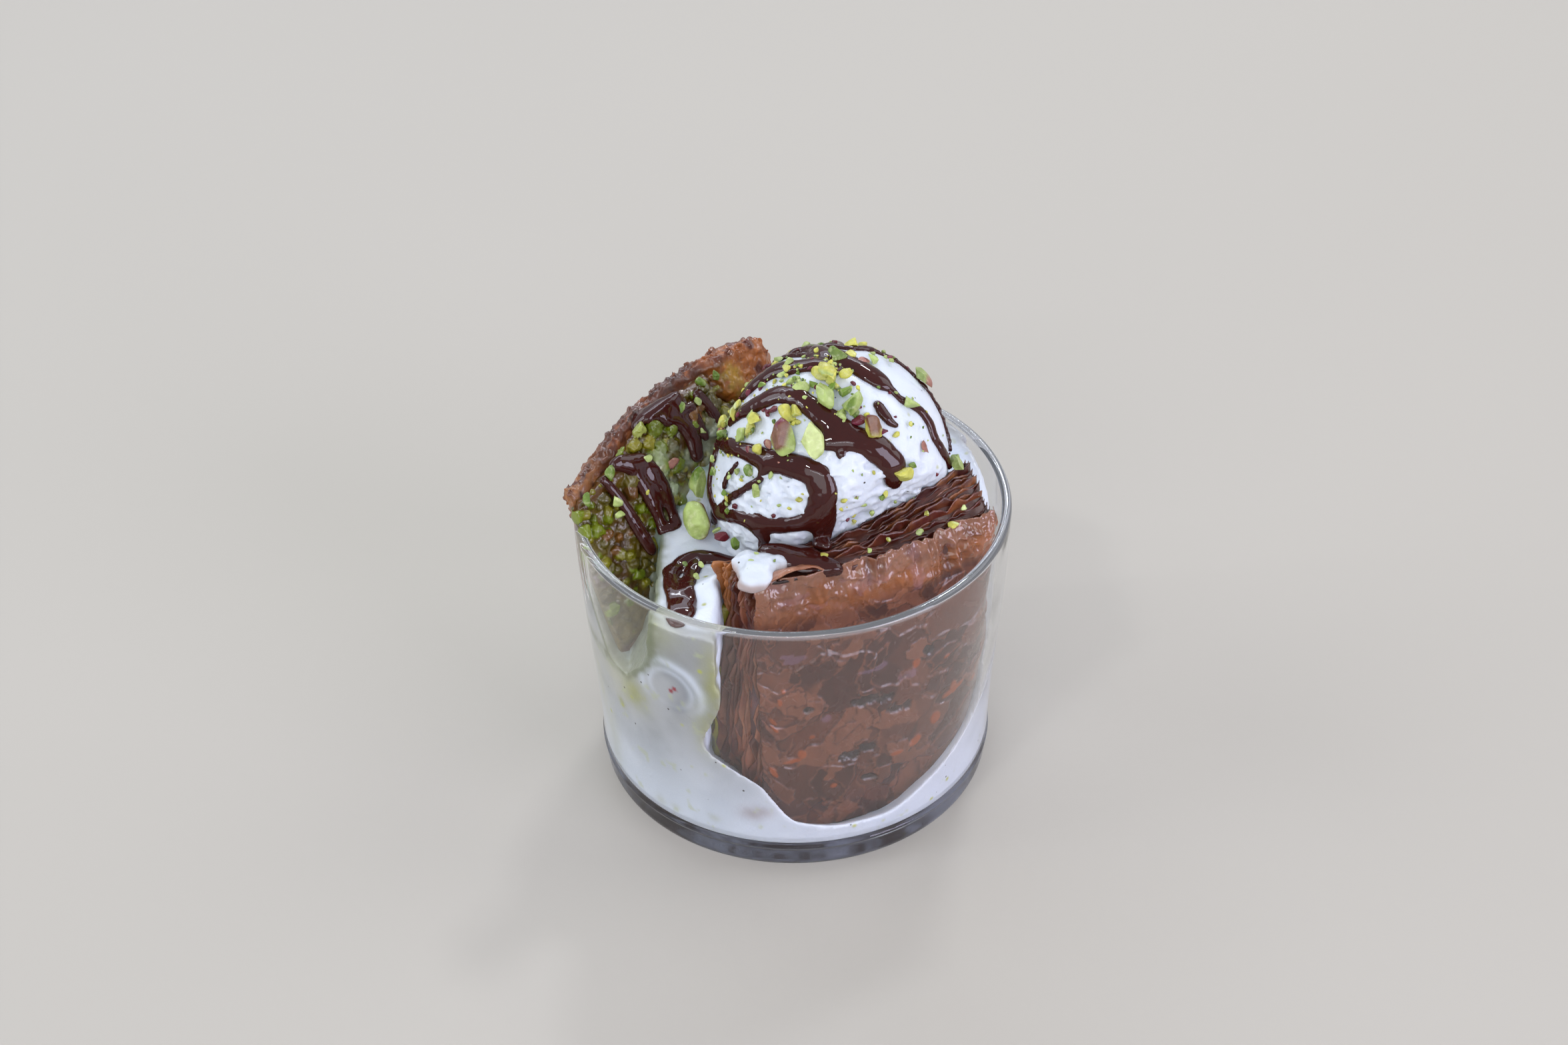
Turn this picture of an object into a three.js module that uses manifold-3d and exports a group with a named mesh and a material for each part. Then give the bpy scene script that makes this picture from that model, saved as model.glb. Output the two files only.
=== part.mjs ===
// Baklava with gelato in a low glass tumbler.
// Millimetres, +Z up. The origin is the centre of the glass's flat underside, and the
// dessert is seen from the front along +Y. Two slices of baklava stand in the gelato: the
// front one shows its glazed leaves, the left one leans out over the rim and shows its
// pistachio filling. A scoop of gelato sits between them, with chocolate sauce and nuts.

import * as THREE from 'three';
import { mergeVertices } from 'three/addons/utils/BufferGeometryUtils.js';
import Module from 'manifold-3d';

const wasm = await Module();
wasm.setup();

// ---------------------------------------------------------------- driving dimensions

const GAP = 0.3; // clearance kept between neighbouring pieces
const FAR = 60; // reach of a cutting body beyond the glass

const GLASS = {
  height: 66,
  rimRadius: 45,
  footRadius: 41.7,
  wall: 2,
  base: 6,
  footRounding: 3,
  innerRounding: 2.5,
  sides: 44,
};

const SCOOP = {
  centre: new THREE.Vector3(9.4, 5, 71.5),
  radius: 23,
  pressedDistance: 17.7, // how far it reaches towards the front slice, at its middle
  pressedSlope: 0.34,
  columns: 32,
  rows: 22,
};

// The front slice stands on edge, with its glazed face to the front and turned a little
// to the right. Distances t run along the face to the right, from the glass's axis.
const FRONT = {
  turn: THREE.MathUtils.degToRad(27.5),
  faceDistance: 28.8, // of the face from the glass's axis, at the slice's top
  bow: 3.6,
  bowCentre: 12,
  bowReach: 34,
  lean: 0.125,
  wallClearance: 1.2,
  left: -22,
  leftSpread: 1.8, // how far the cut side leans out to its foot
  right: 32.5,
  top: 68,
  bottom: 12.5,
  pastry: 9.6,
  filling: 1.7,
  fillingTop: 57,
  backRise: 6,
};

// The left slice leans back on the rim. Its chord runs along the slice from the rim at
// the left, its slope up the slice from the height of the rim, its depth from back to face.
const LEFT = {
  turn: THREE.MathUtils.degToRad(43),
  leanBack: THREE.MathUtils.degToRad(27.8),
  rimContact: new THREE.Vector3(-43.5, 0.8, 66),
  length: 55,
  endSkew: 0.8, // the right end is cut aslant: shorter at the face than at the back
  depth: 35,
  pastry: 5.4,
  bareEndPastry: 8.6,
  filling: 3.8,
  fillingEnd: 40,
  topEdge: [[-2, 3], [7, 6.5], [16, 10], [24, 10.4], [27, 12.8], [43, 14], [51, 12.8], [55, 8]],
  gelatoLine: [[-8, -34], [-1, -29], [4, -19], [10, -13], [18, -4], [28, 0], [44, 2]],
};

const GELATO = {
  level: 59.5,
  meltedFloor: 12.3, // lowest gelato in front of the front slice
  backLevel: 51, // of the gelato behind the left slice
};

const DAB = { t: -16.5, inward: 4.4, length: 11.5, width: 8, thickness: 4.4 };

const COLOURS = {
  glass: 0xdfe6ea,
  gelato: 0xf2f1ea,
  pastry: 0x96552f,
  filling: 0x7d9a2e,
  nut: 0x8fb84a,
};

// ---------------------------------------------------------------- small helpers

const { smoothstep, lerp, degToRad } = THREE.MathUtils;

function bump(distance, width) {
  return Math.exp(-(distance * distance) / (2 * width * width));
}

function softMinimum(a, b, blend) {
  const overlap = Math.max(blend - Math.abs(a - b), 0) / blend;
  return Math.min(a, b) - overlap * overlap * blend * 0.25;
}

// Uneven relief between -1 and 1 from a few crossing waves.
function ripple(x, y, z) {
  const broad = Math.sin(x * 0.9 + 1.3 * Math.sin(y * 0.7 + z * 0.5));
  const fine = Math.sin(y * 1.7 - z * 1.1 + Math.sin(x * 1.9));
  return 0.6 * broad + 0.4 * fine;
}

function seededRandom(seed) {
  let state = seed;
  return () => {
    state = (state * 1664525 + 1013904223) % 4294967296;
    return state / 4294967296;
  };
}

function polyline(points, x) {
  if (x <= points[0][0]) {
    return points[0][1];
  }
  for (let i = 1; i < points.length; i += 1) {
    const [x0, y0] = points[i - 1];
    const [x1, y1] = points[i];
    if (x <= x1) {
      return lerp(y0, y1, (x - x0) / (x1 - x0));
    }
  }
  return points[points.length - 1][1];
}

// Direction from the scoop's centre, from an azimuth (0 is +X, 90 is +Y) and an elevation.
function direction(azimuth, elevation) {
  const a = degToRad(azimuth);
  const e = degToRad(elevation);
  return new THREE.Vector3(Math.cos(a) * Math.cos(e), Math.sin(a) * Math.cos(e), Math.sin(e));
}

// ---------------------------------------------------------------- solids and meshes

function signedVolume(positions, triangles) {
  const [p, q, r] = [new THREE.Vector3(), new THREE.Vector3(), new THREE.Vector3()];
  let six = 0;
  for (let i = 0; i < triangles.length; i += 3) {
    p.fromArray(positions, triangles[i] * 3);
    q.fromArray(positions, triangles[i + 1] * 3);
    r.fromArray(positions, triangles[i + 2] * 3);
    six += p.dot(q.cross(r));
  }
  return six / 6;
}

// A closed geometry as a solid: shared corners merged, collapsed triangles left out,
// faces turned outwards.
function toSolid(geometry) {
  const bare = geometry.clone();
  bare.deleteAttribute('normal');
  bare.deleteAttribute('uv');
  const merged = mergeVertices(bare, 1e-4);
  const positions = Float32Array.from(merged.attributes.position.array);
  const index = merged.index.array;
  const kept = [];
  for (let i = 0; i < index.length; i += 3) {
    const [a, b, c] = [index[i], index[i + 1], index[i + 2]];
    if (a !== b && b !== c && c !== a) {
      kept.push(a, b, c);
    }
  }
  if (signedVolume(positions, kept) < 0) {
    kept.reverse();
  }
  const triVerts = Uint32Array.from(kept);
  return new wasm.Manifold(new wasm.Mesh({ numProp: 3, vertProperties: positions, triVerts }));
}

// The largest body of a solid, so that no loose scrap of a cut stays.
function largestBody(solid) {
  const bodies = solid.decompose();
  bodies.sort((a, b) => b.volume() - a.volume());
  return bodies[0];
}

function fuse(solid, additions) {
  return additions.reduce((whole, addition) => whole.add(addition), solid);
}

function cut(solid, cutters) {
  return cutters.reduce((rest, cutter) => rest.subtract(cutter), solid);
}

function toMesh(name, solid, colour, roughness) {
  const mesh = largestBody(solid).getMesh();
  const geometry = new THREE.BufferGeometry();
  const corners = Float32Array.from(mesh.vertProperties);
  geometry.setAttribute('position', new THREE.BufferAttribute(corners, 3));
  geometry.setIndex(Array.from(mesh.triVerts));
  geometry.computeVertexNormals();
  const material = new THREE.MeshStandardMaterial({ color: colour, roughness, metalness: 0 });
  const piece = new THREE.Mesh(geometry, material);
  piece.name = name;
  return piece;
}

// A box whose unit coordinates (each 0 to 1) are carried to their place by a function.
function warpedBox(place, nx, ny, nz) {
  const box = new THREE.BoxGeometry(1, 1, 1, nx, ny, nz);
  const corners = box.attributes.position;
  for (let i = 0; i < corners.count; i += 1) {
    const unit = [corners.getX(i) + 0.5, corners.getY(i) + 0.5, corners.getZ(i) + 0.5];
    const point = place(...unit);
    corners.setXYZ(i, point.x, point.y, point.z);
  }
  return toSolid(box);
}

// ---------------------------------------------------------------- glass

function outerRadius(z) {
  const { rimRadius, footRadius, height } = GLASS;
  return lerp(footRadius, rimRadius, smoothstep(z, 0, height));
}

function innerRadius(z) {
  return outerRadius(z) - GLASS.wall;
}

function roundedCorner(profile, centreX, centreZ, radius, fromDegrees, toDegrees, steps) {
  for (let i = 0; i <= steps; i += 1) {
    const angle = degToRad(lerp(fromDegrees, toDegrees, i / steps));
    const x = centreX + radius * Math.cos(angle);
    profile.push(new THREE.Vector2(x, centreZ + radius * Math.sin(angle)));
  }
}

function turned(profile) {
  const geometry = new THREE.LatheGeometry(profile, GLASS.sides);
  geometry.rotateX(Math.PI / 2);
  return toSolid(geometry);
}

function tumbler() {
  const { height, wall, base, footRounding, innerRounding } = GLASS;
  const wallSteps = 5;
  const lip = wall / 2;
  const profile = [new THREE.Vector2(0, 0)];
  const footX = outerRadius(footRounding) - footRounding;
  roundedCorner(profile, footX, footRounding, footRounding, -90, 0, 2);
  for (let i = 1; i < wallSteps; i += 1) {
    const z = lerp(footRounding, height - lip, i / wallSteps);
    profile.push(new THREE.Vector2(outerRadius(z), z));
  }
  roundedCorner(profile, outerRadius(height - lip) - lip, height - lip, lip, 0, 180, 3);
  for (let i = wallSteps - 1; i > 0; i -= 1) {
    const z = lerp(base + innerRounding, height - lip, i / wallSteps);
    profile.push(new THREE.Vector2(innerRadius(z), z));
  }
  const innerX = innerRadius(base + innerRounding) - innerRounding;
  roundedCorner(profile, innerX, base + innerRounding, innerRounding, 0, -90, 2);
  profile.push(new THREE.Vector2(0, base));
  return turned(profile);
}

// A thick ring that stands where the glass's wall is, a gap nearer the axis: what it cuts
// lies inside the glass, or above its rim.
function wallCutter(gap) {
  const top = GLASS.height + gap;
  const steps = 6;
  const profile = [new THREE.Vector2(FAR, -GAP)];
  for (let i = 0; i <= steps; i += 1) {
    const z = lerp(-GAP, top, i / steps);
    profile.push(new THREE.Vector2(innerRadius(Math.min(z, GLASS.height)) - gap, z));
  }
  profile.push(new THREE.Vector2(FAR, top));
  profile.push(profile[0].clone());
  return turned(profile);
}

// ---------------------------------------------------------------- front slice

const frontAlong = new THREE.Vector3(Math.cos(FRONT.turn), Math.sin(FRONT.turn), 0);
const frontOut = new THREE.Vector3(Math.sin(FRONT.turn), -Math.cos(FRONT.turn), 0);

function frontFaceDistance(t, z) {
  const bowed = FRONT.bow * ((t - FRONT.bowCentre) / FRONT.bowReach) ** 2;
  const flat = FRONT.faceDistance - bowed + FRONT.lean * (FRONT.top - z);
  const reach = innerRadius(Math.min(z, GLASS.height)) - FRONT.wallClearance;
  const wall = Math.sqrt(Math.max(reach * reach - t * t, 1));
  return softMinimum(flat, wall, 2);
}

// Height of the melted gelato that covers the slice's foot.
function meltedFloor(t) {
  const steepness = t < -14 ? 0.05 : 0.012;
  return GELATO.meltedFloor + steepness * (t + 14) ** 2;
}

function frontTop(t, through) {
  const raised = smoothstep(t, 0, 30) * smoothstep(through, 0.15, 0.8) * FRONT.backRise;
  return FRONT.top + raised;
}

function frontPoint(t, inward, z) {
  const distance = frontFaceDistance(t, z) - inward;
  const point = frontAlong.clone().multiplyScalar(t).addScaledVector(frontOut, distance);
  point.z = z;
  return point;
}

// A layer of the front slice between two depths behind its face. The leaves' edges stand
// out by turns at the cut sides and the top, by the relief.
function frontLayer({ from, to, top, grow, relief, steps }) {
  const whole = FRONT.pastry + GAP + FRONT.filling;
  return warpedBox((a, b, c) => {
    const inward = lerp(from - grow, to + grow, b);
    const through = inward / whole;
    const ledge = relief * Math.sin(inward * 4.4 + 2 * Math.sin(inward * 1.7));
    const spread = FRONT.leftSpread * (1 - c);
    const left = FRONT.left - 2.2 * through - spread - grow + 0.6 * ledge;
    const t = lerp(left, FRONT.right - 0.5 * through + grow, a);
    const upper = Math.min(frontTop(t, through), top) + grow + ledge + relief * 0.6 * ripple(t, 0, inward);
    const lower = Math.max(FRONT.bottom, meltedFloor(t) - 2.5);
    const z = lerp(lower - grow, upper, c);
    const wrinkle = relief * 0.7 * ripple(t * 0.5, z * 0.28, 0) * (1 - b);
    return frontPoint(t, inward - wrinkle, z);
  }, ...steps);
}

function frontPastry(grow, relief) {
  const steps = [14, relief > 0 ? 7 : 1, 12];
  return frontLayer({ from: 0, to: FRONT.pastry, top: FAR * 2, grow, relief, steps });
}

function frontFilling(grow) {
  const from = FRONT.pastry + 2 * GAP; // both are curved, so their seam is wider
  const top = FRONT.fillingTop;
  return frontLayer({ from, to: from + FRONT.filling, top, grow, relief: 0, steps: [14, 1, 6] });
}

// ---------------------------------------------------------------- left slice

const leftAlong = new THREE.Vector3(Math.cos(LEFT.turn), Math.sin(LEFT.turn), 0);
const leftLevel = new THREE.Vector3(Math.sin(LEFT.turn), -Math.cos(LEFT.turn), 0);
const upright = new THREE.Vector3(0, 0, 1);
const leftOut = leftLevel.clone().multiplyScalar(Math.cos(LEFT.leanBack))
  .addScaledVector(upright, Math.sin(LEFT.leanBack));
const leftUp = leftLevel.clone().multiplyScalar(-Math.sin(LEFT.leanBack))
  .addScaledVector(upright, Math.cos(LEFT.leanBack));

function leftPoint(c, b, s) {
  return LEFT.rimContact.clone().addScaledVector(leftAlong, c)
    .addScaledVector(leftOut, b).addScaledVector(leftUp, s);
}

// A layer of the left slice between two depths before its back.
function leftLayer({ from, to, end, grow, relief, steps }) {
  return warpedBox((a, b, c) => {
    const chord = lerp(-2, end + grow, a);
    const depth = lerp(from - grow, to(chord) + grow, b);
    const ledge = relief * Math.sin(depth * 4.6 + 1.5 * Math.sin(depth * 1.9));
    const top = polyline(LEFT.topEdge, chord) + grow + ledge + relief * 0.5 * ripple(chord, depth, 0);
    const s = lerp(-LEFT.depth - grow, top, c);
    const leftSkew = -0.5 * depth + 0.24 * Math.min(s, 0) - grow;
    const rightSkew = end === LEFT.length ? -LEFT.endSkew * depth : 0;
    return leftPoint(chord + lerp(leftSkew, rightSkew, a), depth, s);
  }, ...steps);
}

function leftPastryThickness(chord) {
  return lerp(LEFT.pastry, LEFT.bareEndPastry, smoothstep(chord, LEFT.fillingEnd + 8, LEFT.fillingEnd + 11));
}

function leftPastry(grow, relief) {
  const steps = [16, relief > 0 ? 4 : 1, 7];
  return leftLayer({ from: 0, to: leftPastryThickness, end: LEFT.length, grow, relief, steps });
}

function leftFilling(grow, relief) {
  const from = LEFT.pastry + GAP;
  const to = (chord) => from + LEFT.filling + relief * ripple(chord * 1.3, chord * 0.4, 1);
  const steps = [12, 1, relief > 0 ? 7 : 3];
  return leftLayer({ from, to, end: LEFT.fillingEnd, grow, relief: relief * 0.5, steps });
}

// ---------------------------------------------------------------- scoop

// The scoop's radius in a direction: round and smooth above, torn and lumpy in front and
// below, with a skirt of soft gelato at its lower left and a smooth lip at its right.
function scoopRadius(towards, rough) {
  const { radius, pressedDistance, pressedSlope } = SCOOP;
  const skirt = 4.2 * bump(towards.angleTo(direction(-162, -22)), 0.42);
  const frontLobe = 2.2 * bump(towards.angleTo(direction(-118, -30)), 0.4);
  const lip = 1.1 * bump(towards.angleTo(direction(-38, 2)), 0.22);
  const underLip = -2.2 * bump(towards.angleTo(direction(-42, -22)), 0.2);
  const torn = smoothstep(-towards.y - 0.7 * towards.z, 0.1, 0.8);
  const lumps = rough * torn * 0.9 * ripple(towards.x * 9, towards.y * 9, towards.z * 9);
  const free = radius + skirt + frontLobe + lip + underLip + lumps;
  const approach = towards.dot(frontOut) - pressedSlope * towards.z;
  if (approach < 0.2) {
    return free;
  }
  return softMinimum(free, (pressedDistance + pressedSlope * 2) / approach, 3);
}

function scoopPoint(towards, lift) {
  return towards.clone().multiplyScalar(scoopRadius(towards, 1) + lift).add(SCOOP.centre);
}

function scoopBall(grow, columns, rows) {
  const ball = new THREE.SphereGeometry(1, columns, rows);
  ball.rotateX(Math.PI / 2);
  const corners = ball.attributes.position;
  const towards = new THREE.Vector3();
  for (let i = 0; i < corners.count; i += 1) {
    towards.fromBufferAttribute(corners, i).normalize();
    const point = scoopPoint(towards, grow);
    corners.setXYZ(i, point.x, point.y, point.z);
  }
  return toSolid(ball);
}

// ---------------------------------------------------------------- melted gelato

function gelatoHeight(x, y) {
  const r = Math.hypot(x, y);
  const azimuth = Math.atan2(y, x);
  const towardsRightBack = bump(azimuth - degToRad(30), 0.75);
  const towardsFrontLeft = bump(azimuth - degToRad(-115), 0.4);
  const nearWall = smoothstep(r, 26, 42);
  const river = 8 * bump(Math.hypot(x + 18, y - 13), 8);
  const torn = 3.5 * bump(Math.hypot(x + 15.5, y + 24), 3.5);
  const climb = nearWall * (5 * towardsRightBack + 3.2 * towardsFrontLeft);
  return GELATO.level + climb + river + torn + 0.5 * ripple(x * 0.3, y * 0.3, 0);
}

// The whole filling of the glass up to its uneven top, before the slices are set in.
function gelatoBody() {
  const floor = GLASS.base + GAP;
  return warpedBox((a, b, c) => {
    const flat = new THREE.Vector2(a * 2 - 1, b * 2 - 1);
    const square = Math.max(Math.abs(flat.x), Math.abs(flat.y));
    const spread = square > 0 ? flat.multiplyScalar(square / flat.length()) : flat;
    const rounding = lerp(0.93, 1, smoothstep(c, 0, 0.12));
    const reach = (z) => (innerRadius(z) - GAP) * rounding;
    const rim = spread.clone().multiplyScalar(reach(GELATO.level));
    const z = lerp(floor, gelatoHeight(rim.x, rim.y), c);
    const ground = spread.multiplyScalar(reach(z));
    return new THREE.Vector3(ground.x, ground.y, z);
  }, 12, 12, 4);
}

// Air in front of the front slice, down to the melted gelato at its foot.
function frontAir() {
  const innerLeft = new THREE.Vector2(-15.2, -22.5);
  const innerRight = new THREE.Vector2(38.5, -2.5);
  const outerLeft = new THREE.Vector2(-15.2, -FAR);
  const outerRight = new THREE.Vector2(FAR, -20);
  return warpedBox((a, b, c) => {
    const inner = innerLeft.clone().lerp(innerRight, a);
    const ground = inner.lerp(outerLeft.clone().lerp(outerRight, a), b);
    const t = ground.x * frontAlong.x + ground.y * frontAlong.y;
    return new THREE.Vector3(ground.x, ground.y, lerp(Math.min(meltedFloor(t), 50), 100, c));
  }, 8, 3, 1);
}

// Air behind the leaning left slice, above the gelato there.
function backAir() {
  return warpedBox((a, b, c) => {
    const chord = lerp(-FAR, 57, a);
    const level = GELATO.backLevel + 1.4 * Math.sin(chord * 0.24);
    const z = lerp(level, GLASS.height + 10, c);
    const s = (z - LEFT.rimContact.z) / leftUp.z;
    return leftPoint(chord, 1, s).addScaledVector(leftLevel, -b * FAR * 1.4);
  }, 8, 1, 1);
}

// Air between the left slice's face and the wall, left of the melted gelato.
function leftAir() {
  const lowest = 42;
  return warpedBox((a, b, c) => {
    const z = lerp(lowest, 100, c);
    const x = lerp(-FAR, -28.8 + 1.2 * Math.sin(z * 0.25), a);
    const level = leftOut.x * (x - LEFT.rimContact.x) + leftOut.z * (z - LEFT.rimContact.z);
    const faceY = LEFT.rimContact.y + (level - LEFT.pastry - LEFT.filling + 0.6) / -leftOut.y;
    return new THREE.Vector3(x, lerp(faceY, -FAR, b), z);
  }, 1, 1, 5);
}

// A dab of gelato that lies on the front slice's top, at its left.
function gelatoDab() {
  const { t, inward, length, width, thickness } = DAB;
  const dab = new THREE.SphereGeometry(0.5, 12, 8);
  dab.scale(length, width, thickness);
  dab.rotateZ(FRONT.turn);
  const top = frontPoint(t, inward, FRONT.top);
  dab.translate(top.x, top.y, top.z + thickness * 0.2);
  return toSolid(dab);
}

// ---------------------------------------------------------------- chocolate sauce

// A strip of sauce along a curve: a flat bottom sunk under the surface, a round top and
// round ends. Each station has a point, the surface's outward direction and a width.
function sauceStrip(stations, thickness, sunk) {
  const outline = [[-1, -1], [-0.85, 0.5], [0, 1], [0.85, 0.5], [1, -1]];
  const rows = stations.map(({ point, out, width }, i) => {
    const before = stations[Math.max(i - 1, 0)].point;
    const after = stations[Math.min(i + 1, stations.length - 1)].point;
    const side = after.clone().sub(before).cross(out).normalize();
    return outline.map(([across, up]) => {
      const lift = up < 0 ? -sunk : up * Math.min(thickness, width * 0.45);
      return point.clone().addScaledVector(side, across * width / 2).addScaledVector(out, lift);
    });
  });
  const size = outline.length;
  const positions = rows.flat().flatMap((p) => [p.x, p.y, p.z]);
  const index = [];
  for (let i = 0; i < rows.length - 1; i += 1) {
    for (let k = 0; k < size; k += 1) {
      const [a, b] = [i * size + k, i * size + ((k + 1) % size)];
      index.push(a, a + size, b, b, a + size, b + size);
    }
  }
  const last = (rows.length - 1) * size;
  for (let k = 1; k < size - 1; k += 1) {
    index.push(0, k, k + 1, last, last + k + 1, last + k);
  }
  const geometry = new THREE.BufferGeometry();
  geometry.setAttribute('position', new THREE.Float32BufferAttribute(positions, 3));
  geometry.setIndex(index);
  return toSolid(geometry);
}

// Stations along hand-chosen places, each [first, second, width], carried to the surface.
function sauceStations(places, toSurface, grow) {
  const route = new THREE.CatmullRomCurve3(places.map(([p, q]) => toSurface(p, q).point));
  const count = Math.max(3, Math.round(route.getLength() / 4));
  return Array.from({ length: count + 1 }, (_, i) => {
    const place = i / count * (places.length - 1);
    const before = Math.min(Math.floor(place), places.length - 2);
    const part = place - before;
    const [p, q, width] = [0, 1, 2].map((k) => lerp(places[before][k], places[before + 1][k], part));
    const tip = i === 0 || i === count ? 0.45 : 1;
    return { ...toSurface(p, q), width: width * tip + 2 * grow };
  });
}

const SAUCE = { thickness: 1, sunk: 1.2 };

// The strokes on the scoop: [azimuth, elevation, width].
const SCOOP_STROKES = [
  [[179, 24, 1.5], [195, 50, 3], [222, 62, 3], [262, 54, 3.4], [284, 43, 4.4], [298, 33, 4.6],
    [302, 20, 3.4]],
  [[163, 24, 1.4], [165, 45, 3], [164, 60, 3.4], [173, 80, 3]],
  [[146, 46, 1], [134, 62, 1.2], [142, 78, 1]],
  [[113, 56, 2], [100, 74, 3], [20, 84, 3.2], [-16, 73, 3.4], [-25, 58, 1.6], [-18, 40, 1.8],
    [-20, 20, 2.2], [-14, 2, 1.5]],
  [[88, 62, 1.6], [46, 49, 1.4], [24, 35, 1.1], [8, 18, 1], [-1, 4, 0.8]],
  [[-50, 58, 1.8], [-46, 45, 1]],
  [[176, 9, 2], [200, 20, 3], [225, 28, 3.6], [249, 29, 3.8], [260, 20, 4.4], [261, 6, 4.6], [262, -6, 3.4]],
  [[176, 8, 2], [182, 0, 1.8], [190, -12, 2]],
  [[181, 0, 1.4], [190, -10, 1.5], [205, -11, 2.4], [230, -4, 3.4], [257, 6, 3]],
  [[227, 22, 1.2], [212, 2, 1.4], [204, -10, 1.6]],
  [[229, -4, 2.4], [232, -22, 2]],
];

function scoopSauce(strokes, grow) {
  const toSurface = (azimuth, elevation) => {
    const out = direction(azimuth, elevation);
    return { point: scoopPoint(out, 0), out };
  };
  return strokes.map((places) => {
    const stations = sauceStations(places, toSurface, grow);
    return sauceStrip(stations, SAUCE.thickness + grow, SAUCE.sunk);
  });
}

// The strokes on the left slice's filling: [chord, slope, width].
const FILLING_STROKES = [
  [[8, -1, 3.6], [10, -8, 4.4], [11, -17, 2.6]],
  [[1, -1, 2.4], [2, -9, 3], [4, -18, 2.6]],
  [[27, 6, 3], [28, -2, 3.2]],
  [[35, 9, 1.6], [36, 1, 1.6]],
];

function fillingSauce() {
  const face = LEFT.pastry + GAP + LEFT.filling;
  const toSurface = (chord, slope) => ({ point: leftPoint(chord, face, slope), out: leftOut });
  return FILLING_STROKES.map((places) => {
    return sauceStrip(sauceStations(places, toSurface, 0), SAUCE.thickness, SAUCE.sunk);
  });
}

// The strokes on the melted gelato: [x, y, width].
const GELATO_STROKES = [
  [[-7.5, -15, 2], [-12.5, -13.8, 2.4], [-17, -11.5, 2], [-20.5, -16, 2.2], [-20.8, -25, 3], [-22, -33, 4]],
  [[-25, -17, 2.4], [-23.6, -26, 2.8], [-22, -33, 3]],
];

function gelatoSauce() {
  const toSurface = (x, y) => ({ point: new THREE.Vector3(x, y, gelatoHeight(x, y)), out: upright });
  return GELATO_STROKES.map((places) => {
    return sauceStrip(sauceStations(places, toSurface, 0), SAUCE.thickness, SAUCE.sunk * 2);
  });
}

// The pool of sauce on the front slice's top: [t, distance behind the face, width].
function pastrySauce() {
  const places = [[-6, 9, 3], [-1, 7, 5], [5, 6, 4.4], [12, 4.5, 2]];
  const toSurface = (t, inward) => {
    const through = inward / (FRONT.pastry + GAP + FRONT.filling);
    return { point: frontPoint(t, inward, frontTop(t, through)), out: upright };
  };
  return sauceStrip(sauceStations(places, toSurface, 0), SAUCE.thickness, SAUCE.sunk * 2);
}

// ---------------------------------------------------------------- pistachios

// A chopped nut: a ball with few faces, stretched to its size, with uneven corners.
function nutSolid(place, size, turn, seed, grow) {
  const random = seededRandom(seed);
  const ball = new THREE.OctahedronGeometry(0.5, 1);
  const merged = mergeVertices(ball.deleteAttribute('normal').deleteAttribute('uv'), 1e-4);
  const corners = merged.attributes.position;
  for (let i = 0; i < corners.count; i += 1) {
    const uneven = lerp(0.84, 1.06, random());
    corners.setXYZ(i, corners.getX(i) * uneven, corners.getY(i) * uneven, corners.getZ(i) * uneven);
  }
  merged.scale(...size.map((length) => length + 2 * grow));
  merged.applyQuaternion(turn);
  merged.translate(place.x, place.y, place.z);
  return toSolid(merged);
}

function lyingTurn(out, spin) {
  const lay = new THREE.Quaternion().setFromUnitVectors(upright, out);
  return lay.multiply(new THREE.Quaternion().setFromAxisAngle(upright, degToRad(spin)));
}

// The large pieces on the scoop: [azimuth, elevation, length, width, thickness, spin].
const LARGE_ON_SCOOP = [
  [-127, 41, 6.6, 5.6, 4, 70],
  [-107, 43, 7.6, 4.6, 3.4, 100],
  [-105, 66, 6.8, 3.6, 3, 20],
  [-76, 62, 5.4, 3.4, 3, -30],
  [-121, 80, 5.6, 3.4, 3, 10],
  [-66, 48, 5, 3.8, 3.4, 40],
  [24, 36, 5.6, 4, 2.2, 60],
];

// The large pieces on the melted gelato and the front slice: [x, y, z, length, width,
// thickness, spin].
const LARGE_ELSEWHERE = [
  [-19.6, -5, 62.8, 8.2, 5.4, 4, 80],
  [-19.4, 3.4, 66.6, 6, 3.4, 3, 70],
  [33.5, -1.6, 74.8, 4.6, 2.6, 2.2, 10],
];

function largeNuts() {
  const onScoop = LARGE_ON_SCOOP.map(([azimuth, elevation, length, width, thickness, spin]) => {
    const out = direction(azimuth, elevation);
    const lift = SAUCE.thickness * 0.6 + thickness * 0.3;
    return { place: scoopPoint(out, lift), size: [length, width, thickness], turn: lyingTurn(out, spin) };
  });
  const elsewhere = LARGE_ELSEWHERE.map(([x, y, z, length, width, thickness, spin]) => {
    const place = new THREE.Vector3(x, y, z);
    return { place, size: [length, width, thickness], turn: lyingTurn(upright, spin) };
  });
  return [...onScoop, ...elsewhere];
}

// The small pieces on the scoop: [azimuth, elevation, length].
const SMALL_ON_SCOOP = [
  [169, 17, 3.4], [-160, 40, 2.8], [-151, 38, 3], [-154, 30, 3], [-176, 19, 3.6], [-135, 52, 4.4],
  [-141, 30, 4.1], [-21, 47, 3.4], [-54, 21, 4], [76, 60, 3], [-140, 69, 3.6], [166, 66, 2.8],
  [19, 75, 3.8], [178, 33, 2.8], [-143, 14, 2.4],
];

function smallNutsOnScoop() {
  return SMALL_ON_SCOOP.map(([azimuth, elevation, length], i) => {
    const out = direction(azimuth, elevation);
    const place = scoopPoint(out, SAUCE.thickness);
    return nutSolid(place, [length, length * 0.6, length * 0.6], lyingTurn(out, i * 47), 100 + i, 0);
  });
}

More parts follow.
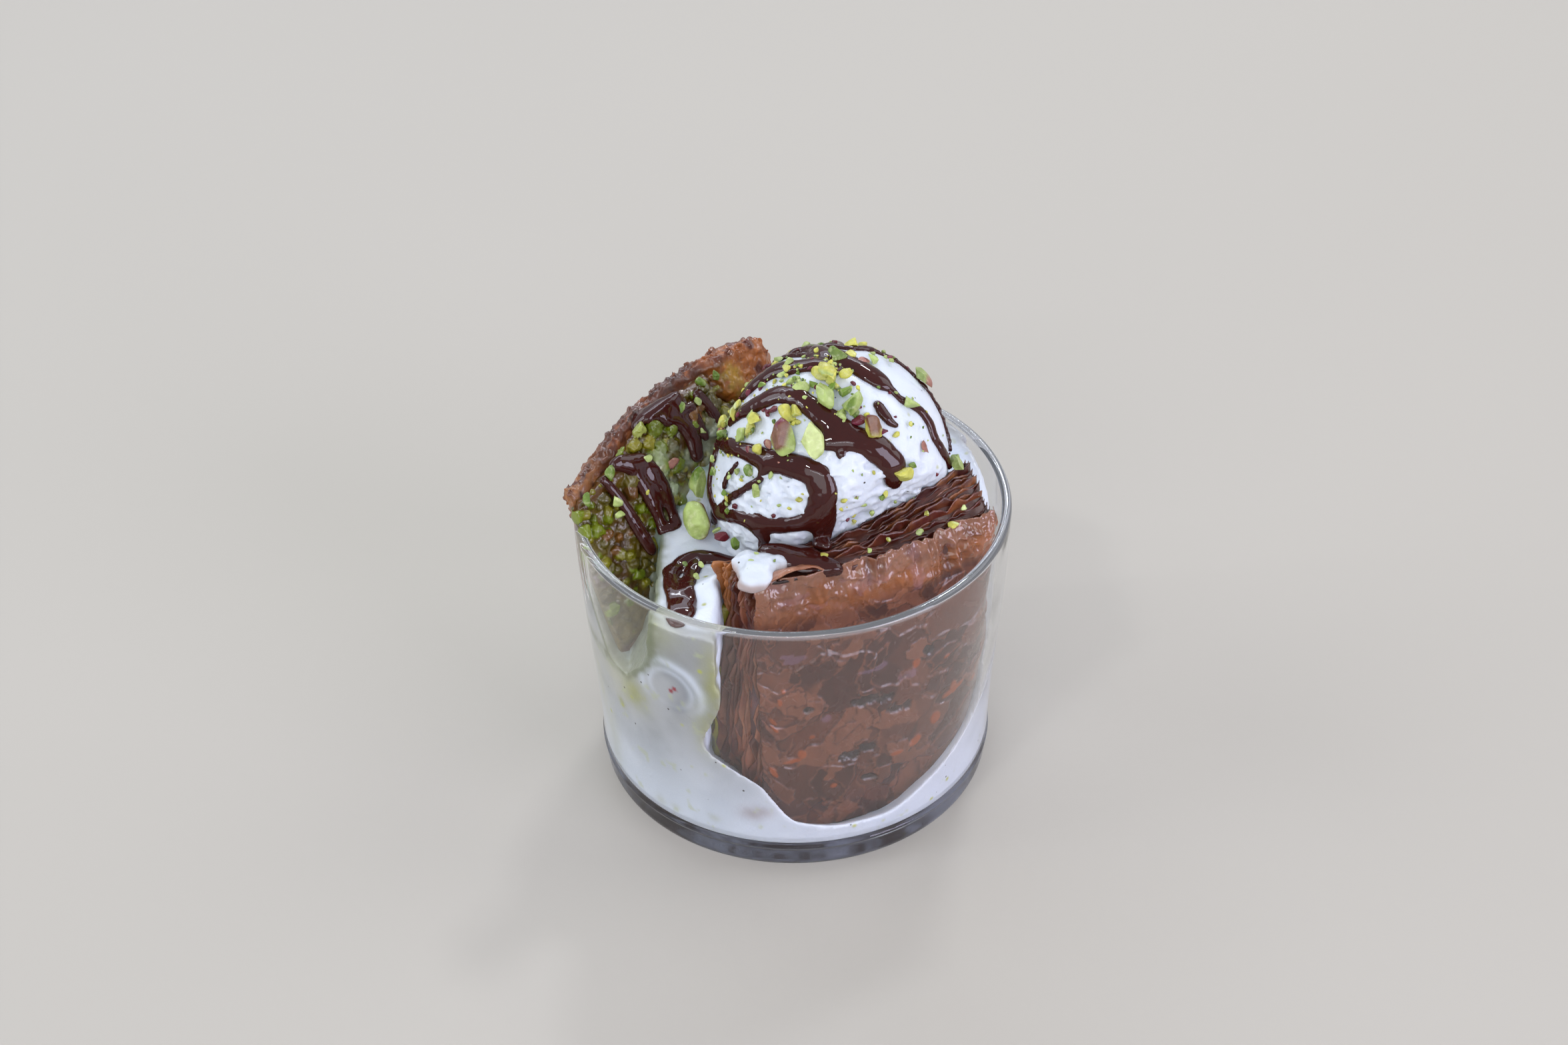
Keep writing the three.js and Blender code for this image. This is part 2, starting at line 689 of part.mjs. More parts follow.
// Chopped nuts that stand out of the left slice's filling, spread over its face.
function fillingNuts() {
  const random = seededRandom(7);
  const face = LEFT.pastry + GAP + LEFT.filling;
  const nuts = [];
  const spacing = 5.6;
  for (let row = 0; row < 7; row += 1) {
    for (let column = 0; column < 7; column += 1) {
      const chord = -5 + column * spacing + 2 * (random() - 0.5) + (row % 2) * spacing * 0.5;
      const slope = 6 - row * spacing + 2 * (random() - 0.5);
      const length = lerp(2.2, 3.6, random());
      const size = [length, length * 0.75, length * 0.8];
      const place = leftPoint(chord, face - 0.1, slope);
      const bare = slope > polyline(LEFT.gelatoLine, chord) && slope < polyline(LEFT.topEdge, chord) - 2;
      if (bare && chord < LEFT.fillingEnd - 3) {
        nuts.push(nutSolid(place, size, lyingTurn(leftOut, random() * 180), 200 + nuts.length, 0));
      }
    }
  }
  return nuts;
}

// ---------------------------------------------------------------- the whole dessert

const wall = wallCutter(GAP);
const relief = 0.45;
const leftSockets = [leftPastry(GAP + relief, 0), leftFilling(GAP + relief * 3, 0)];
const frontSockets = [frontPastry(GAP + relief, 0), frontFilling(GAP + 0.05)];
const nuts = largeNuts();
const nutSockets = nuts.map((nut, i) => nutSolid(nut.place, nut.size, nut.turn, 10 + i, GAP + 0.15));
const scoopSocket = scoopBall(GAP + 0.8, 24, 16);
const lowStrokes = SCOOP_STROKES.filter((places) => places[places.length - 1][1] < -4);
const sauceSockets = scoopSauce(lowStrokes, GAP + 0.15);

const scoop = cut(
  fuse(scoopBall(0, SCOOP.columns, SCOOP.rows), [...scoopSauce(SCOOP_STROKES, 0), ...smallNutsOnScoop()]),
  [...frontSockets, ...leftSockets, ...nutSockets],
);

const pool = cut(
  fuse(cut(gelatoBody(), [frontAir(), backAir(), leftAir()]), gelatoSauce()),
  [...leftSockets, ...frontSockets, scoopSocket, ...sauceSockets, ...nutSockets],
);

const frontCake = cut(frontPastry(0, relief).add(pastrySauce()), [wall, scoopSocket, ...nutSockets]);
const dab = cut(gelatoDab(), [...frontSockets, scoopSocket, wall]);
const frontNuts = cut(frontFilling(0), [wall]);
const leftCake = cut(leftPastry(0, relief), [wall]);
const leftNuts = cut(
  fuse(leftFilling(0, relief), [...fillingNuts(), ...fillingSauce()]),
  [wall, ...nutSockets],
);

const dessert = new THREE.Group();
dessert.add(toMesh('glass', tumbler(), COLOURS.glass, 0.05));
dessert.add(toMesh('gelato_pool', pool, COLOURS.gelato, 0.4));
dessert.add(toMesh('gelato_scoop', scoop, COLOURS.gelato, 0.5));
dessert.add(toMesh('gelato_dab', dab, COLOURS.gelato, 0.5));
dessert.add(toMesh('front_pastry', frontCake, COLOURS.pastry, 0.35));
dessert.add(toMesh('front_filling', frontNuts, COLOURS.filling, 0.5));
dessert.add(toMesh('left_pastry', leftCake, COLOURS.pastry, 0.4));
dessert.add(toMesh('left_filling', leftNuts, COLOURS.filling, 0.45));
nuts.forEach((nut, i) => {
  const name = `pistachio_${String(i + 1).padStart(2, '0')}`;
  dessert.add(toMesh(name, nutSolid(nut.place, nut.size, nut.turn, 10 + i, 0), COLOURS.nut, 0.6));
});

export default dessert;
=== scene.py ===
# %% [markdown]
# # A glass of baklava and gelato
# This lesson dresses a low glass dessert for its picture: a tumbler of half-melted gelato,
# two slices of baklava, a scoop, chocolate sauce and chopped pistachios. The solids come
# from the frame, in metres. Here each of them gets the surface of the real food.

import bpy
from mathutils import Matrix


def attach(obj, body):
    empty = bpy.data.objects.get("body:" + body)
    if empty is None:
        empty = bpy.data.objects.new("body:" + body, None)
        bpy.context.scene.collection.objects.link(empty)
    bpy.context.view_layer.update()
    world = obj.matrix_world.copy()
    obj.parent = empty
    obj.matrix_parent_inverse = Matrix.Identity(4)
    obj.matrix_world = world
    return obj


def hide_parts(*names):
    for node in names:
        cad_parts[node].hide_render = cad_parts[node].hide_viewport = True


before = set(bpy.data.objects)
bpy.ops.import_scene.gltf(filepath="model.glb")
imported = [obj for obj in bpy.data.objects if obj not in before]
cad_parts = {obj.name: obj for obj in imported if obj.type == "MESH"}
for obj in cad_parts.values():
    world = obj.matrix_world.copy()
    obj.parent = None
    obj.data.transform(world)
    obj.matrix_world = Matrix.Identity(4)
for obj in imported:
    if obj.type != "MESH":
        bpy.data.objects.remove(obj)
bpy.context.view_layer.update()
print("frame nodes:", len(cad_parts))

# %% [markdown]
# Food is uneven, so most shapes here are worked out point by point with numpy and then
# turned into meshes. openvdb turns a field of distances into a skin, which is the easy way
# to let soft things such as gelato and sauce flow into each other.

# %% Libraries
import math

import bmesh
import bpy
import numpy as np
import openvdb
from mathutils import Matrix, Vector
from mathutils.kdtree import KDTree

MM = 0.001  # everything is worked out in millimetres and made in metres
print("Blender", bpy.app.version_string)

# %% [markdown]
# ## Small helpers for shapes
# `ease` is a soft step from 0 to 1, `bump` a soft hump, and the two soft extremes round the
# edge where two shapes meet.


# %% Curves for shapes
def ease(x, low, high):
    share = np.clip((x - low) / (high - low), 0, 1)
    return share * share * (3 - 2 * share)


def between(start, end, share):
    return start + (end - start) * share


def bump(distance, width):
    return np.exp(-(distance * distance) / (2 * width * width))


def soft_minimum(a, b, blend):
    overlap = np.maximum(blend - np.abs(a - b), 0) / blend
    return np.minimum(a, b) - overlap * overlap * blend * 0.25


def soft_maximum(a, b, blend):
    return -soft_minimum(-a, -b, blend)


def unit(vectors):
    vectors = np.asarray(vectors, float)
    return vectors / np.linalg.norm(vectors, axis=-1, keepdims=True)


print("ease halfway:", float(ease(0.5, 0, 1)))

# %% [markdown]
# Uneven relief could come from Blender's own noise, one point at a time. A seeded table of
# random values, read smoothly between its entries, does the same for a million points at
# once, and it gives the same values on each run.

# %% Unevenness
TABLE_SIDE = 32


def unevenness(points, size, seed):
    """Smooth seeded values between -1 and 1; size is the width of a lump in mm."""
    table = np.random.default_rng(seed).uniform(-1, 1, (TABLE_SIDE,) * 3).astype(np.float32)
    scaled = np.asarray(points, np.float32) / np.float32(size) + np.float32(97.3)
    corner = np.floor(scaled).astype(np.int32)
    share = scaled - corner
    share = share * share * (3 - 2 * share)
    total = np.zeros(scaled.shape[:-1], np.float32)
    for dx in (0, 1):
        wx = share[..., 0] if dx else 1 - share[..., 0]
        ix = (corner[..., 0] + dx) % TABLE_SIDE
        for dy in (0, 1):
            wy = wx * (share[..., 1] if dy else 1 - share[..., 1])
            iy = (corner[..., 1] + dy) % TABLE_SIDE
            for dz in (0, 1):
                wz = wy * (share[..., 2] if dz else 1 - share[..., 2])
                iz = (corner[..., 2] + dz) % TABLE_SIDE
                total += wz * table[ix, iy, iz]
    return total


def crumple(points, size, seed, octaves=3):
    """Unevenness at several sizes, each half as wide and half as strong as the last."""
    total = 0
    for octave in range(octaves):
        total = total + unevenness(points, size / 2**octave, seed + octave) / 2**octave
    return total


def ridged(points, size, seed, octaves=3):
    """Sharp crests, 1 at their tops, where the unevenness goes through zero."""
    return 1 - 2 * np.abs(crumple(points, size, seed, octaves))


print("unevenness at the origin:", round(float(unevenness(np.zeros((1, 3)), 3, 1)[0]), 3))

# %% [markdown]
# A mesh is a list of corners and a list of faces. `make_piece` builds one from numpy arrays,
# gives it its material, and hides the solids of the frame that it replaces.


# %% Making pieces
def make_piece(name, corners, faces, material, replaces=(), tint=None):
    faces = [np.asarray(group, np.int32) for group in faces if len(group)]
    sizes = np.concatenate([np.full(len(group), group.shape[1]) for group in faces])
    order = np.concatenate([group.ravel() for group in faces])
    mesh = bpy.data.meshes.new(name)
    mesh.vertices.add(len(corners))
    mesh.vertices.foreach_set("co", (np.asarray(corners) * MM).astype(np.float32).ravel())
    mesh.loops.add(len(order))
    mesh.loops.foreach_set("vertex_index", order)
    mesh.polygons.add(len(sizes))
    mesh.polygons.foreach_set("loop_start", np.concatenate([[0], np.cumsum(sizes)[:-1]]))
    mesh.update(calc_edges=True)
    if tint is not None:
        shade = mesh.attributes.new("tint", "FLOAT_COLOR", "POINT")
        rgba = np.concatenate([tint, np.ones((len(tint), 1))], axis=1)
        shade.data.foreach_set("color", rgba.astype(np.float32).ravel())
    mesh.shade_smooth()
    mesh.materials.append(material)
    piece = bpy.data.objects.new(name, mesh)
    bpy.context.scene.collection.objects.link(piece)
    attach(piece, "root")
    if replaces:
        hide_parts(*replaces)
    print(name, "has", len(corners), "corners")
    return piece


# %% [markdown]
# A skin is cut from a field of distances: below zero is inside. The field is sampled on a
# grid, and openvdb walks along its zero surface.


# %% Skins of distance fields
def sample_grid(low, high, step):
    axes = [np.arange(a, b + step, step, dtype=np.float32) for a, b in zip(low, high)]
    return np.stack(np.meshgrid(*axes, indexing="ij"), axis=-1)


def skin(field, low, step, adaptivity=0.0):
    band = 3 * step  # the field is only needed this near the surface
    grid = openvdb.FloatGrid(band)
    grid.copyFromArray(np.clip(field, -band, band).astype(np.float32))
    corners, triangles, quads = grid.convertToPolygons(0.0, adaptivity)
    corners = corners * step + np.asarray(low, np.float32)
    sample = corners[quads[:, :3]] if len(quads) else corners[triangles]
    turn = np.cross(sample[:, 1] - sample[:, 0], sample[:, 2] - sample[:, 0])
    middle = corners.mean(axis=0)
    if (turn * (sample[:, 0] - middle)).sum() < 0:
        triangles, quads = triangles[:, ::-1], quads[:, ::-1]
    return corners, [triangles, quads]


print("a skin is cut within", 3, "grid steps of the surface")

# %% [markdown]
# ## The camera
# The picture looks down 37 degrees from half a metre away, with a longish lens, and is
# rolled by a degree. These values are the ones that put the glass's rim and foot where the
# picture has them.

# %% Camera
CAMERA_PITCH = math.radians(37.361)
CAMERA_ROLL = math.radians(-1.069)
CAMERA_DISTANCE = 511.296
CAMERA_TARGET = Vector((-1.741, 0.0, 58.962))

look = Vector((0, math.cos(CAMERA_PITCH), -math.sin(CAMERA_PITCH)))
level_right = Vector((1, 0, 0))
level_up = level_right.cross(look)
right = math.cos(CAMERA_ROLL) * level_right + math.sin(CAMERA_ROLL) * level_up
up = math.cos(CAMERA_ROLL) * level_up - math.sin(CAMERA_ROLL) * level_right

camera_data = bpy.data.cameras.new("camera")
camera_data.sensor_width = 36
camera_data.lens = 56.75
camera = bpy.data.objects.new("camera", camera_data)
bpy.context.scene.collection.objects.link(camera)
turn = Matrix((right, up, -look)).transposed().to_4x4()
camera.matrix_world = Matrix.Translation((CAMERA_TARGET - CAMERA_DISTANCE * look) * MM) @ turn
bpy.context.scene.camera = camera
print("camera at", [round(x, 3) for x in camera.matrix_world.translation])

# %% [markdown]
# ## Writing materials as node trees
# Each finish is a Principled shader with a few texture nodes in front. `Finish` keeps the
# writing short: `add` makes a node and fills its sockets, from values or from other nodes.


# %% A writer for node trees
class Finish:
    def __init__(self, name):
        self.material = bpy.data.materials.new(name)
        self.material.use_nodes = True
        self.tree = self.material.node_tree
        self.tree.nodes.clear()
        self.output = self.tree.nodes.new("ShaderNodeOutputMaterial")

    def fill(self, socket, value):
        if isinstance(value, bpy.types.NodeSocket):
            self.tree.links.new(value, socket)
        elif hasattr(value, "__len__") and len(value) == 3 and socket.type == "RGBA":
            socket.default_value = (*value, 1)
        else:
            socket.default_value = value

    def add(self, kind, sockets=None, **settings):
        node = self.tree.nodes.new("ShaderNode" + kind)
        for key, value in settings.items():
            setattr(node, key, value)
        for key, value in (sockets or {}).items():
            self.fill(node.inputs[key], value)
        return node

    def place(self):
        """Where a point lies on its own object, in metres."""
        return self.add("TexCoord").outputs["Object"]

    def tint(self):
        """The colour that is kept on the corners of the mesh."""
        node = self.add("Attribute", attribute_name="tint", attribute_type="GEOMETRY")
        return node.outputs["Color"]

    def noise(self, place, scale, detail=3.0, roughness=0.55, distortion=0.0):
        settings = {"Vector": place, "Scale": scale, "Detail": detail, "Roughness": roughness}
        node = self.add("TexNoise", {**settings, "Distortion": distortion})
        return node.outputs["Fac"]

    def ramp(self, value, low, high, start=0.0, end=1.0):
        node = self.add("MapRange", interpolation_type="SMOOTHSTEP")
        for index, number in enumerate((value, low, high, start, end)):
            self.fill(node.inputs[index], number)
        return node.outputs[0]

    def blend(self, share, first, second, kind="MIX"):
        node = self.add("Mix", data_type="RGBA", blend_type=kind)
        for index, value in ((0, share), (6, first), (7, second)):
            self.fill(node.inputs[index], value)
        return node.outputs[2]

    def math(self, kind, first, second=0.0):
        return self.add("Math", {0: first, 1: second}, operation=kind).outputs[0]

    def relief(self, height, distance, strength=1.0):
        sockets = {"Height": height, "Distance": distance, "Strength": strength}
        return self.add("Bump", sockets).outputs["Normal"]

    def finish(self, shader):
        self.tree.links.new(shader, self.output.inputs["Surface"])
        return self.material

    def principled(self, sockets):
        """Ends the tree with one Principled shader."""
        return self.finish(self.add("BsdfPrincipled", sockets).outputs[0])


def srgb(red, green, blue):
    """A colour as a picture's 0 to 255 values, made linear for the shaders."""
    shares = [value / 255 for value in (red, green, blue)]
    return tuple(v / 12.92 if v <= 0.04045 else ((v + 0.055) / 1.055) ** 2.4 for v in shares)


def paint(red, green, blue):
    """The same colour as an array, for mixing and for the tints of a mesh."""
    return np.array(srgb(red, green, blue))


def mixed(first, second, share):
    """Colours (or a row of them) between two colours."""
    return first + (second - first) * np.asarray(share)[..., None]


def layered(colours, layers):
    """Lays colours over each other in turn; each layer is a colour and how much it covers."""
    for colour, share in layers:
        colours = mixed(colours, colour, share)
    return colours


print("mid grey is", round(srgb(128, 128, 128)[0], 3))

# %% [markdown]
# ## The glass
# The tumbler is turned round its axis, so a profile swept round in many small steps is
# enough. The frame's own glass has few sides, so this finer one replaces it.

# %% Profile of the tumbler
GLASS_HEIGHT = 66.0
RIM_RADIUS = 45.0
FOOT_RADIUS = 41.7
WALL = 2.0
BASE = 6.0
FOOT_ROUNDING = 3.0
INNER_ROUNDING = 2.5
BASE_RINGS = [(6.4, 0.4, 0.55), (8.6, 0.16, 0.5)]  # height, how far it stands out, half its width
HOLLOW = 0.6  # the underside is hollowed, so the tumbler stands on a ring near its edge
HOLLOW_RADII = (8.0, 18.0, 26.0, 28.0, 30.0, 32.0, 34.0, 36.0)


def side_radius(z):
    return between(FOOT_RADIUS, RIM_RADIUS, ease(z, 0, GLASS_HEIGHT))


def outer_radius(z):
    """The side, with two soft rings where the thick base begins, which catch the light."""
    radius = side_radius(z)
    for height, stands_out, half_width in BASE_RINGS:
        radius = radius + stands_out * np.exp(-((z - height) / half_width) ** 2)
    return radius


def inner_radius(z):
    return side_radius(z) - WALL


def arc(centre_r, centre_z, radius, start, end, steps):
    angles = np.radians(np.linspace(start, end, steps))
    return [(centre_r + radius * math.cos(a), centre_z + radius * math.sin(a)) for a in angles]


def wall_line(radius_at, low, high, steps):
    return [(float(radius_at(z)), z) for z in np.linspace(low, high, steps)]


lip = WALL / 2
foot_r = float(outer_radius(FOOT_ROUNDING)) - FOOT_ROUNDING
corner_z = BASE + INNER_ROUNDING
corner_r = float(inner_radius(corner_z)) - INNER_ROUNDING
lip_z = GLASS_HEIGHT - lip
hollow = [(r, HOLLOW * (1 - float(ease(r, 26, 36)))) for r in HOLLOW_RADII]
profile = hollow + arc(foot_r, FOOT_ROUNDING, FOOT_ROUNDING, -90, 0, 12)
profile += wall_line(outer_radius, FOOT_ROUNDING + 0.4, 10, 48)
profile += wall_line(outer_radius, 12, lip_z - 0.5, 28)
profile += arc(float(outer_radius(lip_z)) - lip, lip_z, lip, 0, 180, 14)
profile += wall_line(inner_radius, lip_z - 0.5, corner_z + 1, 30)
profile += arc(corner_r, corner_z, INNER_ROUNDING, 0, -90, 12)
print("profile points:", len(profile))

# %% [markdown]
# Clear glass would throw a black shadow in a path tracer, because lamps can't be sampled
# through it. A Transparent shader for shadow rays lets the light in to the gelato.


# %% Glass finish
def glass_finish():
    f = Finish("clear_glass")
    place = f.place()
    height = f.add("SeparateXYZ", {0: place}).outputs[2]
    # pressed glass is never quite flat: long soft waves bend what lies behind it
    waves = f.noise(place, 55.0, detail=1.0, roughness=0.4)
    body = f.add("BsdfPrincipled", {
        "Base Color": (0.975, 0.985, 0.99),
        "Roughness": 0.0,
        "IOR": 1.5,
        "Transmission Weight": f.ramp(height, 0.0645, 0.0652, 1.0, 0.86),
        "Normal": f.relief(waves, 0.0004, 0.5),
    })
    clear = f.add("BsdfTransparent", {"Color": (0.93, 0.94, 0.96)})
    lamp = f.add("LightPath").outputs["Is Shadow Ray"]
    mix = f.add("MixShader", {0: lamp, 1: body.outputs[0], 2: clear.outputs[0]})
    return f.finish(mix.outputs[0])


GLASS_SIDES = 180


def swept(outline, sides):
    """An outline swept round the axis and closed at both ends on the axis."""
    outline = np.array(outline)
    angles = np.linspace(0, 2 * math.pi, sides, endpoint=False)
    around = np.stack([np.cos(angles), np.sin(angles)], axis=-1)
    rings = outline[:, 0][:, None, None] * around[None]
    heights = np.broadcast_to(outline[:, 1][:, None, None], (*rings.shape[:2], 1))
    corners = np.concatenate([rings, heights], axis=-1).reshape(-1, 3)
    index = np.arange(len(corners)).reshape(len(outline), sides)
    beside = np.roll(index, -1, axis=1)
    quads = np.stack([index[:-1], beside[:-1], beside[1:], index[1:]], axis=-1).reshape(-1, 4)
    ends = np.array([[0, 0, outline[0, 1]], [0, 0, outline[-1, 1]]])
    low_cap = np.stack([np.full(sides, len(corners)), beside[0], index[0]], axis=-1)
    high_cap = np.stack([np.full(sides, len(corners) + 1), index[-1], beside[-1]], axis=-1)
    return np.concatenate([corners, ends]), [quads, low_cap, high_cap]


corners, faces = swept(profile, GLASS_SIDES)
make_piece("glass_tumbler", corners, faces, glass_finish(), ["glass"])

# %% [markdown]
# ## Where the two slices stand
# The slices set the shape of everything round them, so their own directions come first.
# The front slice stands on edge and is turned a little to the right. `t` runs along its
# face, `inward` from the face into the slice.

# %% Front slice, its place
FRONT_TURN = math.radians(27.5)
FRONT_FACE = 28.8
FRONT_LEFT = -22.0
FRONT_LEFT_SPREAD = 1.8
FRONT_RIGHT = 32.5
FRONT_TOP = 68.0
FRONT_FOOT = 8.0
FRONT_THICKNESS = 11.9
BACK_RISE = 6.0
MELTED_FLOOR = 10.6

front_along = np.array([math.cos(FRONT_TURN), math.sin(FRONT_TURN), 0])
front_out = np.array([math.sin(FRONT_TURN), -math.cos(FRONT_TURN), 0])


def front_face_distance(t, z):
    flat = FRONT_FACE - 3.6 * ((t - 12) / 34) ** 2 + 0.125 * (FRONT_TOP - z)
    reach = inner_radius(z) - 1.2
    return soft_minimum(flat, np.sqrt(np.maximum(reach * reach - t * t, 1)), 2)


def front_top(t, through):
    return FRONT_TOP + ease(t, 0, 30) * ease(through, 0.15, 0.8) * BACK_RISE


def melted_floor(t):
    right = 0.0135 * np.maximum(t + 8, 0) ** 2
    left = 0.021 * np.maximum(-8 - t, 0) ** 2 + 7 * ease(-t, 18.5, 26)
    return MELTED_FLOOR + right + left


def front_foot(t):
    """The leaves reach this far down into the gelato."""
    return np.maximum(FRONT_FOOT, melted_floor(t) - 5.5)


def front_spread(z):
    """How much further left the cut side reaches towards the foot."""
    return FRONT_LEFT_SPREAD * (FRONT_TOP - z) / (FRONT_TOP - FRONT_FOOT)


def front_place(t, inward, z):
    out = front_face_distance(t, z) - inward
    spot = t[..., None] * front_along + out[..., None] * front_out
    spot[..., 2] = z
    return spot


print("front slice turned", round(math.degrees(FRONT_TURN), 1), "degrees")

# %% [markdown]
# The left slice leans back on the rim. `chord` runs along it, `depth` from its back to its
# face, and `slope` up the slice from the height of the rim.

# %% Left slice, its place
LEFT_TURN = math.radians(43)
LEFT_LEAN = math.radians(27.8)
RIM_CONTACT = np.array([-43.5, 0.8, 66])
LEFT_PASTRY = 5.4
LEFT_FILLING = 3.8
LEFT_LENGTH = 55.0
LEFT_DEPTH = 35.0
LEFT_FILLING_END = 40.0
TOP_EDGE = np.array([
    [-2, 3], [7, 6.5], [16, 10.8], [23, 11.8], [27, 13.2], [43, 14], [51, 12.8], [55, 8],
])

left_along = np.array([math.cos(LEFT_TURN), math.sin(LEFT_TURN), 0])
left_level = np.array([math.sin(LEFT_TURN), -math.cos(LEFT_TURN), 0])
upright = np.array([0, 0, 1.0])
left_out = math.cos(LEFT_LEAN) * left_level + math.sin(LEFT_LEAN) * upright
left_up = math.cos(LEFT_LEAN) * upright - math.sin(LEFT_LEAN) * left_level


def left_place(chord, depth, slope):
    spot = RIM_CONTACT + chord[..., None] * left_along + depth[..., None] * left_out
    return spot + slope[..., None] * left_up


def left_coordinates(points):
    away = points - RIM_CONTACT
    return away @ left_along, away @ left_out, away @ left_up


def top_edge(chord):
    """How far up the slice its top edge lies."""
    return np.interp(chord, TOP_EDGE[:, 0], TOP_EDGE[:, 1])


def sooner(slope):
    """How much sooner the filling ends near the top of the slice."""
    return 5.5 * ease(slope, 0, 8)


print("left slice leans back", round(math.degrees(LEFT_LEAN), 1), "degrees")

# %% [markdown]
# ## The melted gelato
# The gelato fills the glass and climbs a little at the wall. It is a field of distances:
# inside the glass, below an uneven top, and outside the air in front of the front slice.
# It reaches a quarter of a millimetre into the wall, so that no air gap shows.

# %% Top of the gelato
GELATO_LEVEL = 59.5
BACK_LEVEL = 51.0
INTO_WALL = 0.25


def gelato_height(x, y):
    azimuth = np.arctan2(y, x)
    near_wall = ease(np.hypot(x, y), 26, 42)
    climb = 5 * bump(azimuth - math.radians(30), 0.75)
    climb = climb + 2.2 * bump(azimuth + math.radians(115), 0.4)
    river = 8 * bump(np.hypot(x + 18, y - 13), 8)
    torn = 3.5 * bump(np.hypot(x + 15.5, y + 24), 3.5)
    return GELATO_LEVEL + near_wall * climb + river + torn


def inside_profile(z):
    down = np.clip(corner_z - z, 0, INNER_ROUNDING)
    rounded = inner_radius(corner_z) - INNER_ROUNDING + np.sqrt(INNER_ROUNDING**2 - down**2)
    return np.where(z < corner_z, rounded, inner_radius(z))


print("gelato stands", round(float(gelato_height(-18.0, 13.0)), 1), "mm high at the left slice")

# %% Field of the melted gelato
POOL_STEP = 0.5
pool_low = np.array([-43.5, -43.5, BASE - 1], np.float32)
pool_high = np.array([43.5, 43.5, 72], np.float32)


def pool_waves(points):
    """The long waves and the fine ones of every open surface of the gelato."""
    return unevenness(points * (1, 1, 0.6), 7, 11), unevenness(points, 2.4, 12)


def left_pocket(points, wave, fine):
    """The air between the left slice's filling and the wall: above zero in the air."""
    x, z = points[..., 0], points[..., 2]
    left_face = left_coordinates(points)[1] - LEFT_PASTRY - LEFT_FILLING + 1.5
    pocket_floor = z - 42.2 - 1.6 * np.maximum(x + 33, 0) - 0.6 * wave - 0.7 * fine
    right_end = -28.0 - x + 0.9 * wave + 0.6 * fine
    return soft_minimum(soft_minimum(left_face, pocket_floor, 2), right_end, 4)


def pool_field(points):
    x, y, z = points[..., 0], points[..., 1], points[..., 2]
    wave, fine = pool_waves(points)
    ragged = bump(np.hypot(x + 15.5, y + 26), 5) * 1.1 * unevenness(points, 3.4, 13)
    top = z - gelato_height(x, y) - 0.5 * wave - 0.18 * fine - ragged
    along = points @ front_along
    out = points @ front_out
    beside_slice = 1 - ease(along, FRONT_LEFT - 0.4, FRONT_LEFT + 0.8)
    before_face = out - front_face_distance(along, z) + between(2.5, 13.2, beside_slice)
    edge_x = -15.0 - 2.8 * ease(-z, -46, -34)
    right_of_edge = x - edge_x - 0.9 * wave - 0.45 * fine
    gap_to_wall = np.clip(inner_radius(z) - np.hypot(x, y), 0, 5)
    above_floor = z - melted_floor(along) - 0.5 * wave + 0.8 * gap_to_wall
    front_air = soft_minimum(soft_minimum(before_face, right_of_edge, 3), above_floor, 2)
    chord, depth, _ = left_coordinates(points)
    back_floor = BACK_LEVEL + 0.6 * unevenness(points, 6, 14) + 10.5 * ease(chord, 33, 54)
    back_air = soft_minimum(3 - depth, z - back_floor - 0.6 * wave, 3)
    solid = top
    for air in (front_air, back_air, left_pocket(points, wave, fine)):
        solid = soft_maximum(solid, air, 1.6)
    wall = np.hypot(x, y) - inside_profile(z) - INTO_WALL
    return np.maximum(np.maximum(solid, wall), BASE - INTO_WALL - z)


pool_points = sample_grid(pool_low, pool_high, POOL_STEP)
pool = pool_field(pool_points)
print("gelato grid:", pool.shape)

# %% [markdown]
# ## The scoop
# A scoop is a ball that the spoon has torn: round and smooth above, ragged in front, with a
# soft skirt at its lower left and a smooth lip at its right, and pressed flat where it meets
# the front slice. Its size depends on the direction seen from its centre.

# %% Shape of the scoop
SCOOP_CENTRE = np.array([9.4, 5, 71.5])
SCOOP_RADIUS = 23.0
PRESSED_DISTANCE = 17.7
PRESSED_SLOPE = 0.34


def direction(azimuth, elevation):
    a, e = np.radians(azimuth), np.radians(elevation)
    return np.stack([np.cos(a) * np.cos(e), np.sin(a) * np.cos(e), np.sin(e)], axis=-1)


def angle_between(towards, other):
    return np.arccos(np.clip(towards @ other, -1, 1))


def scoop_radius(towards):
    skirt = 4.2 * bump(angle_between(towards, direction(-162, -22)), 0.42)
    front_lobe = 2.2 * bump(angle_between(towards, direction(-118, -30)), 0.4)
    lip = 1.1 * bump(angle_between(towards, direction(-38, 2)), 0.22)
    under_lip = 2.2 * bump(angle_between(towards, direction(-42, -22)), 0.2)
    free = SCOOP_RADIUS + skirt + front_lobe + lip - under_lip
    approach = towards @ front_out - PRESSED_SLOPE * towards[..., 2]
    pressed = (PRESSED_DISTANCE + 2 * PRESSED_SLOPE) / np.maximum(approach, 0.2)
    return soft_minimum(free, pressed, 3)


def scoop_field(points):
    away = points - SCOOP_CENTRE
    distance = np.linalg.norm(away, axis=-1)
    towards = away / np.maximum(distance, 1e-6)[..., None]
    return distance - scoop_radius(towards), towards


SCOOP_STEP = 0.42
scoop_low = SCOOP_CENTRE - (29, 26, 25)
scoop_high = SCOOP_CENTRE + (25, 25, 26)
scoop_points = sample_grid(scoop_low, scoop_high, SCOOP_STEP)
ball, scoop_towards = scoop_field(scoop_points)
print("scoop grid:", ball.shape)

# %% [markdown]
# The torn front is icy and layered: ledges that run level and break up. Ridged noise,
# squeezed in height, gives them. The top was smoothed by the spoon and stays soft.


